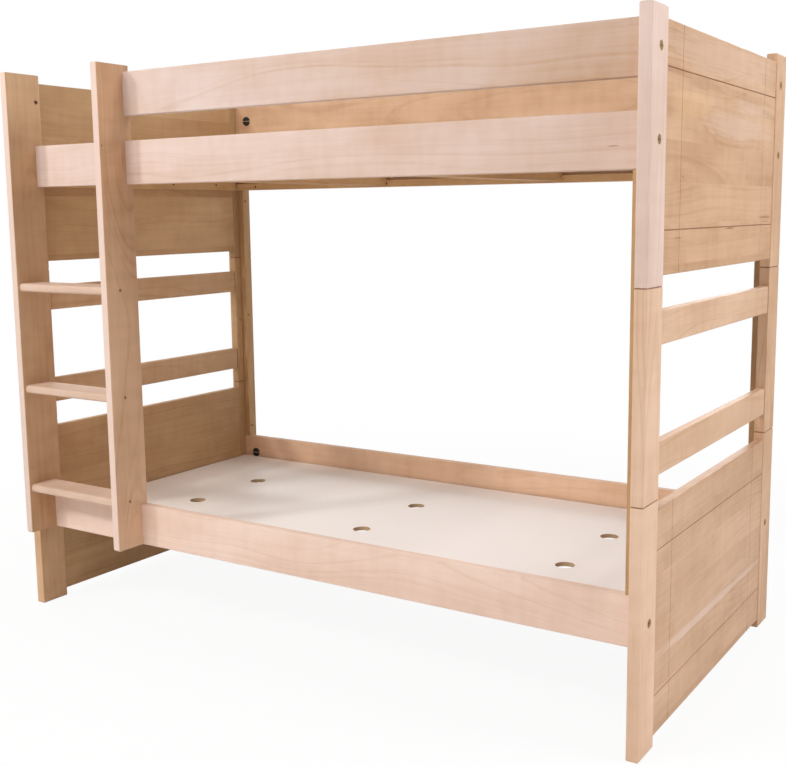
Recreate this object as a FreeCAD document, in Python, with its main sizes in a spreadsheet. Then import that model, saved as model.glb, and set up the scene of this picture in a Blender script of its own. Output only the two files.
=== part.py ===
import FreeCAD, Part
import os
import re
import Sketcher

# A bunk bed of solid beech boards. Each end is three frames stacked on pins: a lower end
# frame, a spacer frame and an upper end frame. Side rails join the ends, and a ladder of
# two notched stiles and three treads stands in front of the rails.
# X runs along the bed, Y from the ladder side to the rear, Z up. The floor is Z = 0.

# Driving dimensions, in millimetres: name, value, meaning.
SIZES = (
    ("bed_length", 2080, "over the outer faces of the end posts"),
    ("bed_width", 1080, "over the front and rear faces of the end posts"),
    ("frame_height", 603, "height of the posts of a lower or upper end frame"),
    ("spacer_height", 488, "height of the posts of a spacer frame"),
    ("post_thickness", 31, "post section along X"),
    ("post_width", 96, "post section along Y"),
    ("post_rounding", 2.5, "rounding of a post's long edges"),
    ("post_bevel", 2.5, "bevel round the ends of a post, a V groove where two meet"),
    ("panel_thickness", 25, "end panel board"),
    ("panel_inset", 24, "post end to the nearer edge of its end panel"),
    ("panel_rounding", 2.5, "rounding of an end panel's upper and lower edges"),
    ("groove_inset", 100, "panel's upper or lower edge to its level groove"),
    ("groove_side_inset", 108, "panel's side edge to its upright groove"),
    ("groove_depth", 2, "depth of a panel groove, which is twice as wide"),
    ("end_rail_thickness", 25, "rails of a spacer frame, along X"),
    ("end_rail_width", 79, "rails of a spacer frame, along Z"),
    ("end_rail_margin", 54, "spacer post end to the nearer spacer rail"),
    ("end_rail_rounding", 5, "rounding of every edge of a spacer rail"),
    ("rail_thickness", 25, "side rails and guard rails, along Y"),
    ("rail_width", 126, "side rails, along Z"),
    ("guard_width", 125, "guard rails, along Z"),
    ("guard_gap", 71, "upper side rail to the guard rail above it"),
    ("rail_rounding", 3, "rounding of the long edges of a side rail or guard rail"),
    ("rail_recess", 41, "outer face of a post to the outer face of a rail"),
    ("batten_thickness", 24, "upright corner battens, along X"),
    ("batten_rounding", 2, "rounding of a corner batten's long edges"),
    ("batten_screw_margin", 41, "end of a corner batten to its nearer screw"),
    ("spare_bore", 10, "spare hole in each spacer post and in the left stile"),
    ("spare_bore_depth", 18, "depth of the spare hole in a spacer post"),
    ("spare_bore_offset", 19, "inner side of a spacer post to its spare hole"),
    ("stile_thickness", 25, "ladder stiles, along X"),
    ("stile_width", 122, "ladder stiles, along Y"),
    ("stile_rounding", 3, "rounding of the long edges of a ladder stile"),
    ("stile_foot_rounding", 8, "rounding of the front corner of a stile's foot"),
    ("stile_gap", 9, "front left post to the left stile"),
    ("stile_drop", 5, "top of the posts to the top of a ladder stile"),
    ("stile_screw_lift", 32, "middle of a side rail up to the screw that holds a stile to it"),
    ("ladder_opening", 371, "between the two stiles"),
    ("tread_thickness", 25, "ladder treads, along Z"),
    ("tread_setback", 8, "front edge of a stile to the front edge of a tread"),
    ("tread_rounding", 9, "rounding of a tread's front edges"),
    ("tread_start", 145, "foot of a stile to the middle of the first tread"),
    ("tread_pitch", 319, "rise from tread to tread"),
    ("base_thickness", 12, "perforated base board"),
    ("base_rise", 48, "lower edge of a side rail to the top of its base board"),
    ("base_side_gap", 6, "base board to the side rails"),
    ("base_end_gap", 1, "base board to the end posts"),
    ("base_hole", 54, "air holes of a base board, across"),
    ("base_hole_pitch", 676, "air holes, along the bed"),
    ("base_hole_spread", 310, "air holes, across the bed"),
    ("cleat_depth", 25, "side cleats, along Y"),
    ("cleat_height", 24, "side cleats, along Z"),
    ("end_cleat_thickness", 20, "end cleats, along X"),
    ("cleat_rounding", 2, "rounding of a cleat's long edges"),
    ("bearer_width", 75, "cross bearers under a base board, along X"),
    ("bearer_spread", 674, "between the middles of the two bearers of a bunk"),
    ("bearer_lift", 5, "lower edge of a side rail to the underside of a bearer"),
    ("bolt_diameter", 8, "rail bolt, shank"),
    ("bolt_head", 20, "rail bolt, across its head"),
    ("bolt_head_height", 5, "rail bolt, head"),
    ("bolt_socket", 7, "rail bolt, key socket across its corners"),
    ("bolt_socket_depth", 3, "rail bolt, key socket"),
    ("bolt_sink", 22, "counterbore over a rail bolt, across"),
    ("bolt_sink_depth", 6, "counterbore over a rail bolt"),
    ("bolt_tail", 6, "end of a rail bolt past the middle of its nut"),
    ("nut_distance", 54, "end of a rail to the middle of its barrel nut"),
    ("nut_diameter", 13, "barrel nut, across"),
    ("nut_length", 22, "barrel nut, below its flange"),
    ("nut_flange", 33, "flange of a barrel nut, across"),
    ("nut_flange_height", 4, "flange of a barrel nut"),
    ("nut_slot", 3, "slot in a barrel nut's flange, across and deep"),
    ("pin_diameter", 10, "pins between the stacked frames"),
    ("pin_length", 80, "pins between the stacked frames"),
    ("pin_spread", 56, "between the two pins of a post"),
    ("dowel_diameter", 8, "dowels inside the end frames"),
    ("dowel_length", 50, "dowels inside the end frames"),
    ("panel_dowel_spread", 440, "between the outer dowels of a panel's side"),
    ("end_rail_dowel_spread", 36, "between the two dowels of a spacer rail's end"),
    ("screw_diameter", 5, "frame screw, shank"),
    ("screw_length", 40, "frame screw, below its head"),
    ("screw_head", 9, "frame screw, across its head"),
    ("screw_head_height", 3, "frame screw, head"),
    ("screw_socket", 4.5, "frame screw, key socket across its corners"),
    ("screw_socket_depth", 1.8, "frame screw, key socket"),
    ("screw_sink_depth", 6, "counterbore over a frame screw"),
    ("tack_diameter", 4, "cleat screw, shank"),
    ("tack_length", 32, "cleat screw, below its head"),
    ("tack_head", 8, "cleat screw, across its head"),
    ("tack_head_height", 2.5, "cleat screw, head"),
    ("tack_socket", 3.5, "cleat screw, key socket across its corners"),
    ("tack_socket_depth", 1.5, "cleat screw, key socket"),
    ("tack_margin", 110, "end of a cleat to its nearer screw"),
    ("bearer_tack_inset", 12, "end of a bearer to its screw"),
    ("fit", 0.3, "clearance all round what is fitted into a hole or a notch"),
    ("overrun", 5, "how far a cut runs past the face that it starts from"),
)

# Derived dimensions: name, formula, meaning.
DERIVED = (
    ("rail_rise", "frame_height - panel_inset - guard_width - guard_gap - rail_width",
     "foot of an end frame to the lower edge of its side rails"),
    ("rail_end", "bed_length / 2 - post_thickness", "middle of the bed to a post's inner face"),
    ("panel_side", "bed_width / 2 - post_width", "middle of the bed to a panel's side edge"),
    ("rail_outer", "bed_width / 2 - rail_recess", "middle of the bed to a rail's outer face"),
    ("rail_inner", "rail_outer - rail_thickness", "middle of the bed to a rail's inner face"),
    ("rail_middle", "rail_outer - rail_thickness / 2", "middle of the bed to a rail's own middle"),
    ("post_middle", "bed_width / 2 - post_width / 2", "middle of the bed to a post's middle"),
    ("stile_proud", "stile_width - rail_recess - rail_thickness", "stile past the posts"),
    ("stile_middle", "rail_inner + stile_width / 2", "middle of the bed to a stile's middle"),
    ("bed_middle", "stile_proud / 2", "where the middle of the bed lies along Y"),
    ("upper_foot", "frame_height + spacer_height", "floor to the foot of the upper end frames"),
    ("bed_height", "upper_foot + frame_height", "floor to the top of the posts"),
    ("panel_width", "bed_width - 2 * post_width", "width of the end panels"),
    ("panel_height", "frame_height - 2 * panel_inset", "height of the end panels"),
    ("rail_line", "rail_rise + rail_width / 2", "foot of an end frame to its side rail bolts"),
    ("guard_line", "frame_height - panel_inset - guard_width / 2", "same, guard rail bolts"),
    ("batten_foot", "rail_rise + rail_width", "floor to the foot of a corner batten"),
    ("batten_length", "upper_foot + rail_rise - batten_foot", "length of a corner batten"),
    ("batten_screw_reach", "batten_length / 2 - batten_screw_margin", "middle to outer screw"),
    ("stile_height", "bed_height - stile_drop - rail_rise", "height of the ladder stiles"),
    ("stile_x", "rail_end - stile_gap - stile_thickness / 2", "middle of the left stile"),
    ("stile_step", "ladder_opening + stile_thickness", "from stile to stile"),
    ("tread_depth", "stile_width - rail_thickness - tread_setback", "treads, along Y"),
    ("tread_y", "rail_outer + tread_depth / 2", "middle of the bed to a tread's middle"),
    ("short_guard_length", "rail_end + stile_x - stile_step - stile_thickness / 2", "front guard"),
    ("base_length", "2 * (rail_end - base_end_gap)", "base board, along X"),
    ("base_width", "2 * (rail_inner - base_side_gap)", "base board, along Y"),
    ("base_under", "base_rise - base_thickness", "rail's lower edge to the base board"),
    ("bearer_length", "2 * (rail_inner - fit)", "bearers, along Y"),
    ("bearer_height", "base_under - bearer_lift", "bearers, along Z"),
    ("end_cleat_x", "bed_length / 2 - post_thickness / 2 - panel_thickness / 2"
                    " - end_cleat_thickness / 2", "middle of the bed to an end cleat's middle"),
    ("bolt_length", "post_thickness - bolt_sink_depth + nut_distance + bolt_tail", "rail bolt"),
    ("bolt_bore", "bolt_diameter + 2 * fit", "hole for a rail bolt"),
    ("nut_bore", "nut_diameter + 2 * fit", "hole for a barrel nut"),
    ("screw_bore", "screw_diameter + 2 * fit", "hole for a frame screw"),
    ("screw_sink", "screw_head + 2 * fit", "counterbore over a frame screw"),
    ("tack_bore", "tack_diameter + 2 * fit", "hole for a cleat screw"),
    ("tack_sink", "tack_head + 2 * fit", "counterbore over a cleat screw"),
)

LEFT, RIGHT = -1, 1
FRONT, REAR = -1, 1
SIDE_NAMES = {LEFT: "left", RIGHT: "right"}
ROW_NAMES = {FRONT: "front", REAR: "rear"}
CORNERS = tuple((side, row) for side in (LEFT, RIGHT) for row in (FRONT, REAR))
# The left stile stands where the batten of the front left corner would be.
BATTEN_CORNERS = tuple(corner for corner in CORNERS if corner != (LEFT, FRONT))
BUNKS = {"lower": "0", "upper": "upper_foot"}
TREADS = ("low", "middle", "high")

X, Y, Z = (FreeCAD.Vector(1, 0, 0), FreeCAD.Vector(0, 1, 0), FreeCAD.Vector(0, 0, 1))
# The origin plane that each direction is square to.
SQUARE_TO = {"X": "YZ_Plane", "Y": "XZ_Plane", "Z": "XY_Plane"}
AXES = {"X": X, "Y": Y, "Z": Z}

doc = FreeCAD.newDocument("BunkBed")
sheet = doc.addObject("Spreadsheet::Sheet", "Sizes")
pieces = []
hollows = {}


def fill_sheet():
    rows = [(name, str(value), meaning) for name, value, meaning in SIZES]
    rows += [(name, "=" + words, meaning) for name, words, meaning in DERIVED]
    for number, (name, content, meaning) in enumerate(rows, start=1):
        sheet.set(f"A{number}", name)
        sheet.set(f"B{number}", content)
        sheet.setAlias(f"B{number}", name)
        sheet.set(f"C{number}", meaning)
    doc.recompute()


NAMES = {row[0] for row in SIZES + DERIVED}


def formula(words):
    """The words as an expression, with each name looked up in the sheet."""
    return re.sub(r"[a-z_]+", lambda found: "Sizes." + found.group()
                  if found.group() in NAMES else found.group(), words)


def bind(item, slot, words):
    item.setExpression(slot, formula(words))


def value(words):
    """What a formula comes to, in millimetres."""
    sizes = {name: float(sheet.get(name)) for name in re.findall(r"[a-z_]+", words)}
    total = FreeCAD.Units.parseQuantity(re.sub(r"[a-z_]+", lambda found:
                                               repr(sizes[found.group()]), words))
    return float(total.Value)


def move(item, x, y, z):
    bind(item, "Placement.Base.x", x)
    bind(item, "Placement.Base.y", y)
    bind(item, "Placement.Base.z", z)


def place(body, x, y, z):
    """Cuts a board's holes and puts its middle at x, y, z, with y from the middle of the bed."""
    cutters = doc.addObject("Part::MultiFuse", "Holes")
    cutters.Shapes = hollows[body.Name]
    piece = joined("Part::Cut", body.Label.removesuffix("_board"), body, cutters)
    move(piece, x, f"bed_middle + {y}", z)
    pieces.append(piece)


def joined(kind, name, base, tool):
    item = doc.addObject(kind, name)
    item.Label = name
    item.Base = base
    item.Tool = tool
    return item


def attach(item, body, direction):
    role = SQUARE_TO[direction]
    plane = next(part for part in body.Origin.OriginFeatures if part.Role == role)
    item.AttachmentSupport = (plane, [""])
    item.MapMode = "FlatFace"


def closed_outline(sketch, points):
    count = len(points)
    for index in range(count):
        sketch.addGeometry(Part.LineSegment(points[index], points[(index + 1) % count]))
    for index in range(count):
        sketch.addConstraint(Sketcher.Constraint("Coincident", index, 2, (index + 1) % count, 1))


def name_constraint(sketch, constraint, name, words):
    sketch.renameConstraint(sketch.addConstraint(constraint), name)
    bind(sketch, f"Constraints.{name}", words)


def rectangle(body, direction, across, up):
    """A rectangle about the body's own middle, square to the direction."""
    sketch = body.newObject("Sketcher::SketchObject", "Outline")
    attach(sketch, body, direction)
    wide, high = value(across) / 2, value(up) / 2
    closed_outline(sketch, [FreeCAD.Vector(x * wide, y * high, 0)
                            for x, y in ((-1, -1), (1, -1), (1, 1), (-1, 1))])
    for index in (0, 2):
        sketch.addConstraint(Sketcher.Constraint("Horizontal", index))
        sketch.addConstraint(Sketcher.Constraint("Vertical", index + 1))
    sketch.addConstraint(Sketcher.Constraint("Symmetric", 0, 1, 2, 1, -1, 1))
    name_constraint(sketch, Sketcher.Constraint("DistanceX", 0, 1, 0, 2, 2 * wide), "across", across)
    name_constraint(sketch, Sketcher.Constraint("DistanceY", 1, 1, 1, 2, 2 * high), "up", up)
    return sketch


def board(label, direction, across, up, thick):
    """A plain board: a rectangle padded both ways along the direction."""
    body = doc.addObject("PartDesign::Body", f"{label}_board")
    body.Label = f"{label}_board"
    hollows[body.Name] = []
    outline = rectangle(body, direction, across, up)
    pad = body.newObject("PartDesign::Pad", "Pad")
    pad.Profile = outline
    pad.SideType = "Symmetric"
    bind(pad, "Length", thick)
    outline.Visibility = False
    outline.recompute()
    pad.recompute()
    return body


def edges_along(shape, axis):
    names = []
    for number, edge in enumerate(shape.Edges, start=1):
        if isinstance(edge.Curve, Part.Line) and abs(edge.Curve.Direction.dot(axis)) > 0.99:
            names.append(f"Edge{number}")
    return names


def round_edges(body, names, radius):
    base = body.Tip
    rounding = body.newObject("PartDesign::Fillet", "Rounding")
    rounding.Base = (base, names)
    bind(rounding, "Radius", radius)
    rounding.recompute()


def round_long_edges(body, direction, radius):
    round_edges(body, edges_along(body.Tip.Shape, AXES[direction]), radius)


def bevel_ends(body, size):
    base = body.Tip
    faces = [f"Face{number}" for number, face in enumerate(base.Shape.Faces, start=1)
             if isinstance(face.Surface, Part.Plane)
             and abs(face.normalAt(0, 0).dot(Z)) > 0.99]
    bevel = body.newObject("PartDesign::Chamfer", "Bevel")
    bevel.Base = (base, faces)
    bind(bevel, "Size", size)
    bevel.recompute()


def drill(body, direction, across, up, start, depth, diameter):
    """A round hole along the direction. Across and up are its other two places, in order."""
    hole = doc.addObject("Part::Cylinder", "Hole")
    bind(hole, "Radius", f"({diameter}) / 2")
    bind(hole, "Height", depth)
    hole.Placement.Rotation = FreeCAD.Rotation(Z, AXES[direction])
    spot = [across, up]
    spot.insert("XYZ".index(direction), start)
    move(hole, *spot)
    hollows[body.Name].append(hole)


def drill_from(body, direction, sign, face, depth, across, up, diameter):
    """A round hole from the face, which lies at sign * face, down to depth below it."""
    start = f"{face} - ({depth})" if sign > 0 else f"-1 * ({face}) - overrun"
    drill(body, direction, across, up, start, f"{depth} + overrun", diameter)


def drill_through(body, direction, thick, across, up, diameter):
    drill(body, direction, across, up, f"-1 * ({thick}) / 2 - overrun",
          f"{thick} + 2 * overrun", diameter)


def notch(body, x, y, z, length, width, height):
    """A square notch whose lowest corner lies at x, y, z."""
    box = doc.addObject("Part::Box", "Notch")
    bind(box, "Length", length)
    bind(box, "Width", width)
    bind(box, "Height", height)
    move(box, x, y, z)
    hollows[body.Name].append(box)


def v_groove(body, direction, across, up):
    """A V groove that runs the whole length of the direction, cut by a square on its corner."""
    sketch = body.newObject("Sketcher::SketchObject", "GrooveProfile")
    attach(sketch, body, direction)
    reach = value("groove_depth")
    closed_outline(sketch, [FreeCAD.Vector(x * reach, y * reach, 0)
                            for x, y in ((1, 0), (0, 1), (-1, 0), (0, -1))])
    sketch.addConstraint(Sketcher.Constraint("PointOnObject", 0, 1, -1))
    sketch.addConstraint(Sketcher.Constraint("PointOnObject", 1, 1, -2))
    sketch.addConstraint(Sketcher.Constraint("Symmetric", 0, 1, 2, 1, -1, 1))
    sketch.addConstraint(Sketcher.Constraint("Symmetric", 1, 1, 3, 1, -1, 1))
    name_constraint(sketch, Sketcher.Constraint("DistanceX", -1, 1, 0, 1, reach),
                    "depth", "groove_depth")
    name_constraint(sketch, Sketcher.Constraint("DistanceY", -1, 1, 1, 1, reach),
                    "half_width", "groove_depth")
    bind(sketch, "AttachmentOffset.Base.x", across)
    bind(sketch, "AttachmentOffset.Base.y", up)
    groove = body.newObject("PartDesign::Pocket", "Groove")
    groove.Profile = sketch
    groove.Type = "ThroughAll"
    groove.SideType = "Symmetric"
    sketch.Visibility = False


def post(label, height):
    """An upright of an end frame, rounded along its edges and bevelled at both ends."""
    body = board(label, "Z", "post_thickness", "post_width", height)
    round_long_edges(body, "Z", "post_rounding")
    bevel_ends(body, "post_bevel")
    return body


def place_post(body, side, row, foot, height):
    place(body, f"{side} * (bed_length - post_thickness) / 2", f"{row} * post_middle",
          f"{foot} + {height} / 2")


def drill_pin_holes(body, height, ends):
    for end in ends:
        for pin in (-1, 1):
            drill_from(body, "Z", end, f"{height} / 2", "pin_length / 2 + fit", "0",
                       f"{pin} * pin_spread / 2", "pin_diameter + 2 * fit")


def drill_dowel_holes(body, row, heights):
    """Holes in the side of a post that faces the middle of the bed."""
    for up in heights:
        drill_from(body, "Y", -row, "post_width / 2", "dowel_length / 2 + fit", "0", up,
                   "dowel_diameter + 2 * fit")


def drill_for_batten(body, side, row, up):
    drill_from(body, "X", -side, "post_thickness / 2", "screw_length + screw_sink_depth"
               " - batten_thickness + fit", f"{row} * (rail_middle - post_middle)", up, "screw_bore")


PANEL_DOWEL_HEIGHTS = ("0", "-1 * panel_dowel_spread / 2", "panel_dowel_spread / 2")
END_RAIL_MIDDLES = {
    "low": "end_rail_margin + end_rail_width / 2",
    "high": "spacer_height - end_rail_margin - end_rail_width / 2",
}
BATTEN_SCREW_HEIGHTS = tuple(f"batten_foot + batten_length / 2 + {step} * batten_screw_reach"
                             for step in (-1, 0, 1))


def end_frame_post(bunk, side, row):
    body = post(f"{bunk}_post_{ROW_NAMES[row]}_{SIDE_NAMES[side]}", "frame_height")
    drill_pin_holes(body, "frame_height", (1,) if bunk == "lower" else (-1,))
    drill_dowel_holes(body, row, PANEL_DOWEL_HEIGHTS)
    lines = ["rail_line"]
    if bunk == "upper" and (side, row) != (LEFT, FRONT):
        lines.append("guard_line")
    bolt_y = f"{row} * (rail_middle - post_middle)"
    for line in lines:
        up = f"{line} - frame_height / 2"
        drill_through(body, "X", "post_thickness", bolt_y, up, "bolt_bore")
        drill_from(body, "X", side, "post_thickness / 2", "bolt_sink_depth", bolt_y, up, "bolt_sink")
    if (side, row) in BATTEN_CORNERS:
        height = BATTEN_SCREW_HEIGHTS[0 if bunk == "lower" else 2]
        drill_for_batten(body, side, row, f"{height} - {BUNKS[bunk]} - frame_height / 2")
    place_post(body, side, row, BUNKS[bunk], "frame_height")


def spacer_post(side, row):
    body = post(f"spacer_post_{ROW_NAMES[row]}_{SIDE_NAMES[side]}", "spacer_height")
    drill_pin_holes(body, "spacer_height", (-1, 1))
    heights = [f"{middle} - spacer_height / 2 + {step} * end_rail_dowel_spread / 2"
               for middle in END_RAIL_MIDDLES.values() for step in (-1, 1)]
    drill_dowel_holes(body, row, heights)
    drill_from(body, "X", -side, "post_thickness / 2", "spare_bore_depth",
               f"{row} * (spare_bore_offset - post_width / 2)", "0", "spare_bore")
    if (side, row) in BATTEN_CORNERS:
        drill_for_batten(body, side, row,
                         f"{BATTEN_SCREW_HEIGHTS[1]} - frame_height - spacer_height / 2")
    place_post(body, side, row, "frame_height", "spacer_height")


def cleat_tack_places(half_length):
    """Screw places along a cleat: two near its ends and two between."""
    reach = f"({half_length} - tack_margin)"
    return [f"{share} * {reach}" for share in ("-1", "-1 / 3", "1 / 3", "1")]


def end_panel(bunk, side):
    """A solid panel between two posts, grooved on its outer face."""
    body = board(f"{bunk}_panel_{SIDE_NAMES[side]}", "X", "panel_width", "panel_height",
                 "panel_thickness")
    round_long_edges(body, "Y", "panel_rounding")
    face = f"{side} * panel_thickness / 2"
    for sign in (-1, 1):
        v_groove(body, "Y", face, f"{sign} * (panel_height / 2 - groove_inset)")
        v_groove(body, "Z", face, f"{sign} * (panel_width / 2 - groove_side_inset)")
        for up in PANEL_DOWEL_HEIGHTS:
            drill_from(body, "Y", sign, "panel_width / 2", "dowel_length / 2 + fit", "0", up,
                       "dowel_diameter + 2 * fit")
    for along in cleat_tack_places("panel_side"):
        drill_from(body, "X", -side, "panel_thickness / 2",
                   "tack_length + tack_head_height - end_cleat_thickness + fit", along,
                   "rail_rise + base_under / 2 - frame_height / 2", "tack_bore")
    place(body, f"{side} * (bed_length - post_thickness) / 2", "0",
          f"{BUNKS[bunk]} + frame_height / 2")


def end_rail(level, side):
    """A rail of a spacer frame, rounded all over."""
    body = board(f"spacer_rail_{level}_{SIDE_NAMES[side]}", "X", "panel_width",
                 "end_rail_width", "end_rail_thickness")
    round_edges(body, [f"Edge{number + 1}" for number in range(len(body.Tip.Shape.Edges))],
                "end_rail_rounding")
    for sign in (-1, 1):
        for step in (-1, 1):
            drill_from(body, "Y", sign, "panel_width / 2", "dowel_length / 2 + fit", "0",
                       f"{step} * end_rail_dowel_spread / 2", "dowel_diameter + 2 * fit")
    place(body, f"{side} * (bed_length - post_thickness) / 2", "0",
          f"frame_height + {END_RAIL_MIDDLES[level]}")


def drill_bolt_end(body, end, row, half_length, seat):
    """The bolt hole in one end of a rail, and the nut hole that crosses it."""
    drill_from(body, "X", end, half_length, f"bolt_length - ({seat}) + fit", "0", "0", "bolt_bore")
    drill_from(body, "Y", -row, "rail_thickness / 2", "nut_length + fit",
               f"{end} * ({half_length} - nut_distance)", "0", "nut_bore")


POST_SEAT = "post_thickness - bolt_sink_depth"
STILE_SEAT = "stile_thickness - bolt_sink_depth"
STILE_MIDDLES = {"left": "-1 * stile_x", "right": "stile_step - stile_x"}


def side_rail(bunk, row):
    body = board(f"{bunk}_side_rail_{ROW_NAMES[row]}", "Y", "2 * rail_end", "rail_width",
                 "rail_thickness")
    round_long_edges(body, "X", "rail_rounding")
    for end in (LEFT, RIGHT):
        drill_bolt_end(body, end, row, "rail_end", POST_SEAT)
    for along in cleat_tack_places("rail_end"):
        drill_from(body, "Y", -row, "rail_thickness / 2",
                   "tack_length + tack_head_height - cleat_depth + fit", along,
                   "(cleat_height - rail_width) / 2", "tack_bore")
    if row == FRONT:
        for middle in STILE_MIDDLES.values():
            drill_through(body, "Y", "rail_thickness", middle, "stile_screw_lift", "screw_bore")
            drill_from(body, "Y", -row, "rail_thickness / 2", "screw_sink_depth", middle,
                       "stile_screw_lift", "screw_sink")
    place(body, "0", f"{row} * rail_middle", f"{BUNKS[bunk]} + rail_line")


def guard_rail(row):
    """The upper rail of the top bunk. The front one ends at the right stile."""
    half = "rail_end" if row == REAR else "short_guard_length / 2"
    body = board(f"guard_rail_{ROW_NAMES[row]}", "Y", f"2 * {half}", "guard_width",
                 "rail_thickness")
    round_long_edges(body, "X", "rail_rounding")
    drill_bolt_end(body, RIGHT, row, half, POST_SEAT)
    drill_bolt_end(body, LEFT, row, half, POST_SEAT if row == REAR else STILE_SEAT)
    place(body, f"rail_end - {half}", f"{row} * rail_middle", "upper_foot + guard_line")


def corner_batten(side, row):
    """An upright strip that ties the three stacked frames of one corner together."""
    body = board(f"corner_batten_{ROW_NAMES[row]}_{SIDE_NAMES[side]}", "Z", "batten_thickness",
                 "rail_thickness", "batten_length")
    round_long_edges(body, "Z", "batten_rounding")
    for step in (-1, 0, 1):
        up = f"{step} * batten_screw_reach"
        drill_through(body, "X", "batten_thickness", "0", up, "screw_bore")
        drill_from(body, "X", -side, "batten_thickness / 2", "screw_sink_depth", "0", up,
                   "screw_sink")
    place(body, f"{side} * (rail_end - batten_thickness / 2)", f"{row} * rail_middle",
          "batten_foot + batten_length / 2")


def tread_height(index):
    return f"tread_start + {index} * tread_pitch"


def ladder_stile(name):
    """A stile notched over both front rails, with screw holes for the treads."""
    body = board(f"ladder_stile_{name}", "X", "stile_width", "stile_height", "stile_thickness")
    shape = body.Tip.Shape
    front_foot = [edge for edge in edges_along(shape, X)
                  if shape.getElement(edge).CenterOfMass.y < 0
                  and shape.getElement(edge).CenterOfMass.z < 0]
    round_edges(body, front_foot, "stile_foot_rounding")
    round_long_edges(body, "Z", "stile_rounding")
    back = "stile_width / 2 - rail_thickness - fit"
    wide = "stile_thickness + 2 * overrun"
    left = "-1 * stile_thickness / 2 - overrun"
    deep = "rail_thickness + fit + overrun"
    notch(body, left, back, "-1 * stile_height / 2 - overrun", wide, deep,
          "rail_width + fit + overrun")
    notch(body, left, back, "upper_foot - stile_height / 2 - fit", wide, deep,
          "rail_width + 2 * fit")
    rail_y = "(stile_width - rail_thickness) / 2"
    guard_up = "upper_foot + guard_line - rail_rise - stile_height / 2"
    hole = "bolt_bore" if name == "right" else "spare_bore"
    drill_through(body, "X", "stile_thickness", rail_y, guard_up, hole)
    outer = LEFT if name == "left" else RIGHT
    if name == "right":
        drill_from(body, "X", LEFT, "stile_thickness / 2", "bolt_sink_depth", rail_y, guard_up,
                   "bolt_sink")
    tread_y = "tread_setback + tread_depth / 2 - stile_width / 2"
    for index in range(len(TREADS)):
        up = f"{tread_height(index)} - stile_height / 2"
        drill_through(body, "X", "stile_thickness", tread_y, up, "screw_bore")
        drill_from(body, "X", outer, "stile_thickness / 2", "screw_sink_depth", tread_y, up,
                   "screw_sink")
    for foot in BUNKS.values():
        up = f"{foot} + rail_width / 2 + stile_screw_lift - stile_height / 2"
        drill(body, "Y", "0", up, f"stile_width / 2 - screw_length - screw_sink_depth - fit",
              "screw_length", "screw_bore")
    place(body, STILE_MIDDLES[name], "-1 * stile_middle", "rail_rise + stile_height / 2")


def ladder_tread(index):
    body = board(f"ladder_tread_{TREADS[index]}", "Z", "ladder_opening", "tread_depth",
                 "tread_thickness")
    shape = body.Tip.Shape
    front = [name for name in edges_along(shape, X)
             if shape.getElement(name).CenterOfMass.y < shape.CenterOfMass.y]
    round_edges(body, front, "tread_rounding")
    for side in (LEFT, RIGHT):
        drill_from(body, "X", side, "ladder_opening / 2",
                   "screw_length + screw_sink_depth - stile_thickness + fit", "0", "0",
                   "screw_bore")
    place(body, "(stile_step / 2) - stile_x", "-1 * tread_y", f"rail_rise + {tread_height(index)}")


def base_board(bunk):
    """The white board that a mattress lies on, with two rows of three air holes."""
    body = board(f"{bunk}_base_board", "Z", "base_length", "base_width", "base_thickness")
    for column in (-1, 0, 1):
        for row in (-1, 1):
            drill_through(body, "Z", "base_thickness", f"{column} * base_hole_pitch",
                          f"{row} * base_hole_spread / 2", "base_hole")
    place(body, "0", "0", f"{BUNKS[bunk]} + rail_rise + base_rise - base_thickness / 2")


def side_cleat(bunk, row):
    body = board(f"{bunk}_side_cleat_{ROW_NAMES[row]}", "Y", "2 * rail_end", "cleat_height",
                 "cleat_depth")
    round_long_edges(body, "X", "cleat_rounding")
    for along in cleat_tack_places("rail_end"):
        drill_through(body, "Y", "cleat_depth", along, "0", "tack_bore")
        drill_from(body, "Y", -row, "cleat_depth / 2", "tack_head_height", along, "0", "tack_sink")
    for sign in (-1, 1):
        drill_from(body, "Z", 1, "cleat_height / 2", "tack_length + tack_head_height"
                   " - bearer_height + cleat_height - bearer_lift + fit",
                   f"{sign} * bearer_spread / 2",
                   f"{row} * (bearer_length / 2 - bearer_tack_inset + cleat_depth / 2 - rail_inner)",
                   "tack_bore")
    place(body, "0", f"{row} * (rail_inner - cleat_depth / 2)",
          f"{BUNKS[bunk]} + rail_rise + cleat_height / 2")


def end_cleat(bunk, side):
    body = board(f"{bunk}_end_cleat_{SIDE_NAMES[side]}", "X", "panel_width", "base_under",
                 "end_cleat_thickness")
    round_long_edges(body, "Y", "cleat_rounding")
    for along in cleat_tack_places("panel_side"):
        drill_through(body, "X", "end_cleat_thickness", along, "0", "tack_bore")
        drill_from(body, "X", -side, "end_cleat_thickness / 2", "tack_head_height", along, "0",
                   "tack_sink")
    place(body, f"{side} * end_cleat_x", "0", f"{BUNKS[bunk]} + rail_rise + base_under / 2")


def bearer(bunk, side):
    """A cross bearer, notched at each end to lie on the side cleats."""
    body = board(f"{bunk}_bearer_{SIDE_NAMES[side]}", "X", "bearer_length", "bearer_height",
                 "bearer_width")
    for sign in (-1, 1):
        start = "bearer_length / 2 - cleat_depth" if sign > 0 else "-1 * bearer_length / 2 - overrun"
        notch(body, "-1 * bearer_width / 2 - overrun", start, "-1 * bearer_height / 2 - overrun",
              "bearer_width + 2 * overrun", "cleat_depth + overrun",
              "cleat_height - bearer_lift + overrun")
        y = f"{sign} * (bearer_length / 2 - bearer_tack_inset)"
        drill_through(body, "Z", "bearer_height", "0", y, "tack_bore")
        drill_from(body, "Z", 1, "bearer_height / 2", "tack_head_height", "0", y, "tack_sink")
    place(body, f"{side} * bearer_spread / 2", "0",
          f"{BUNKS[bunk]} + rail_rise + bearer_lift + bearer_height / 2")


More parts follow.
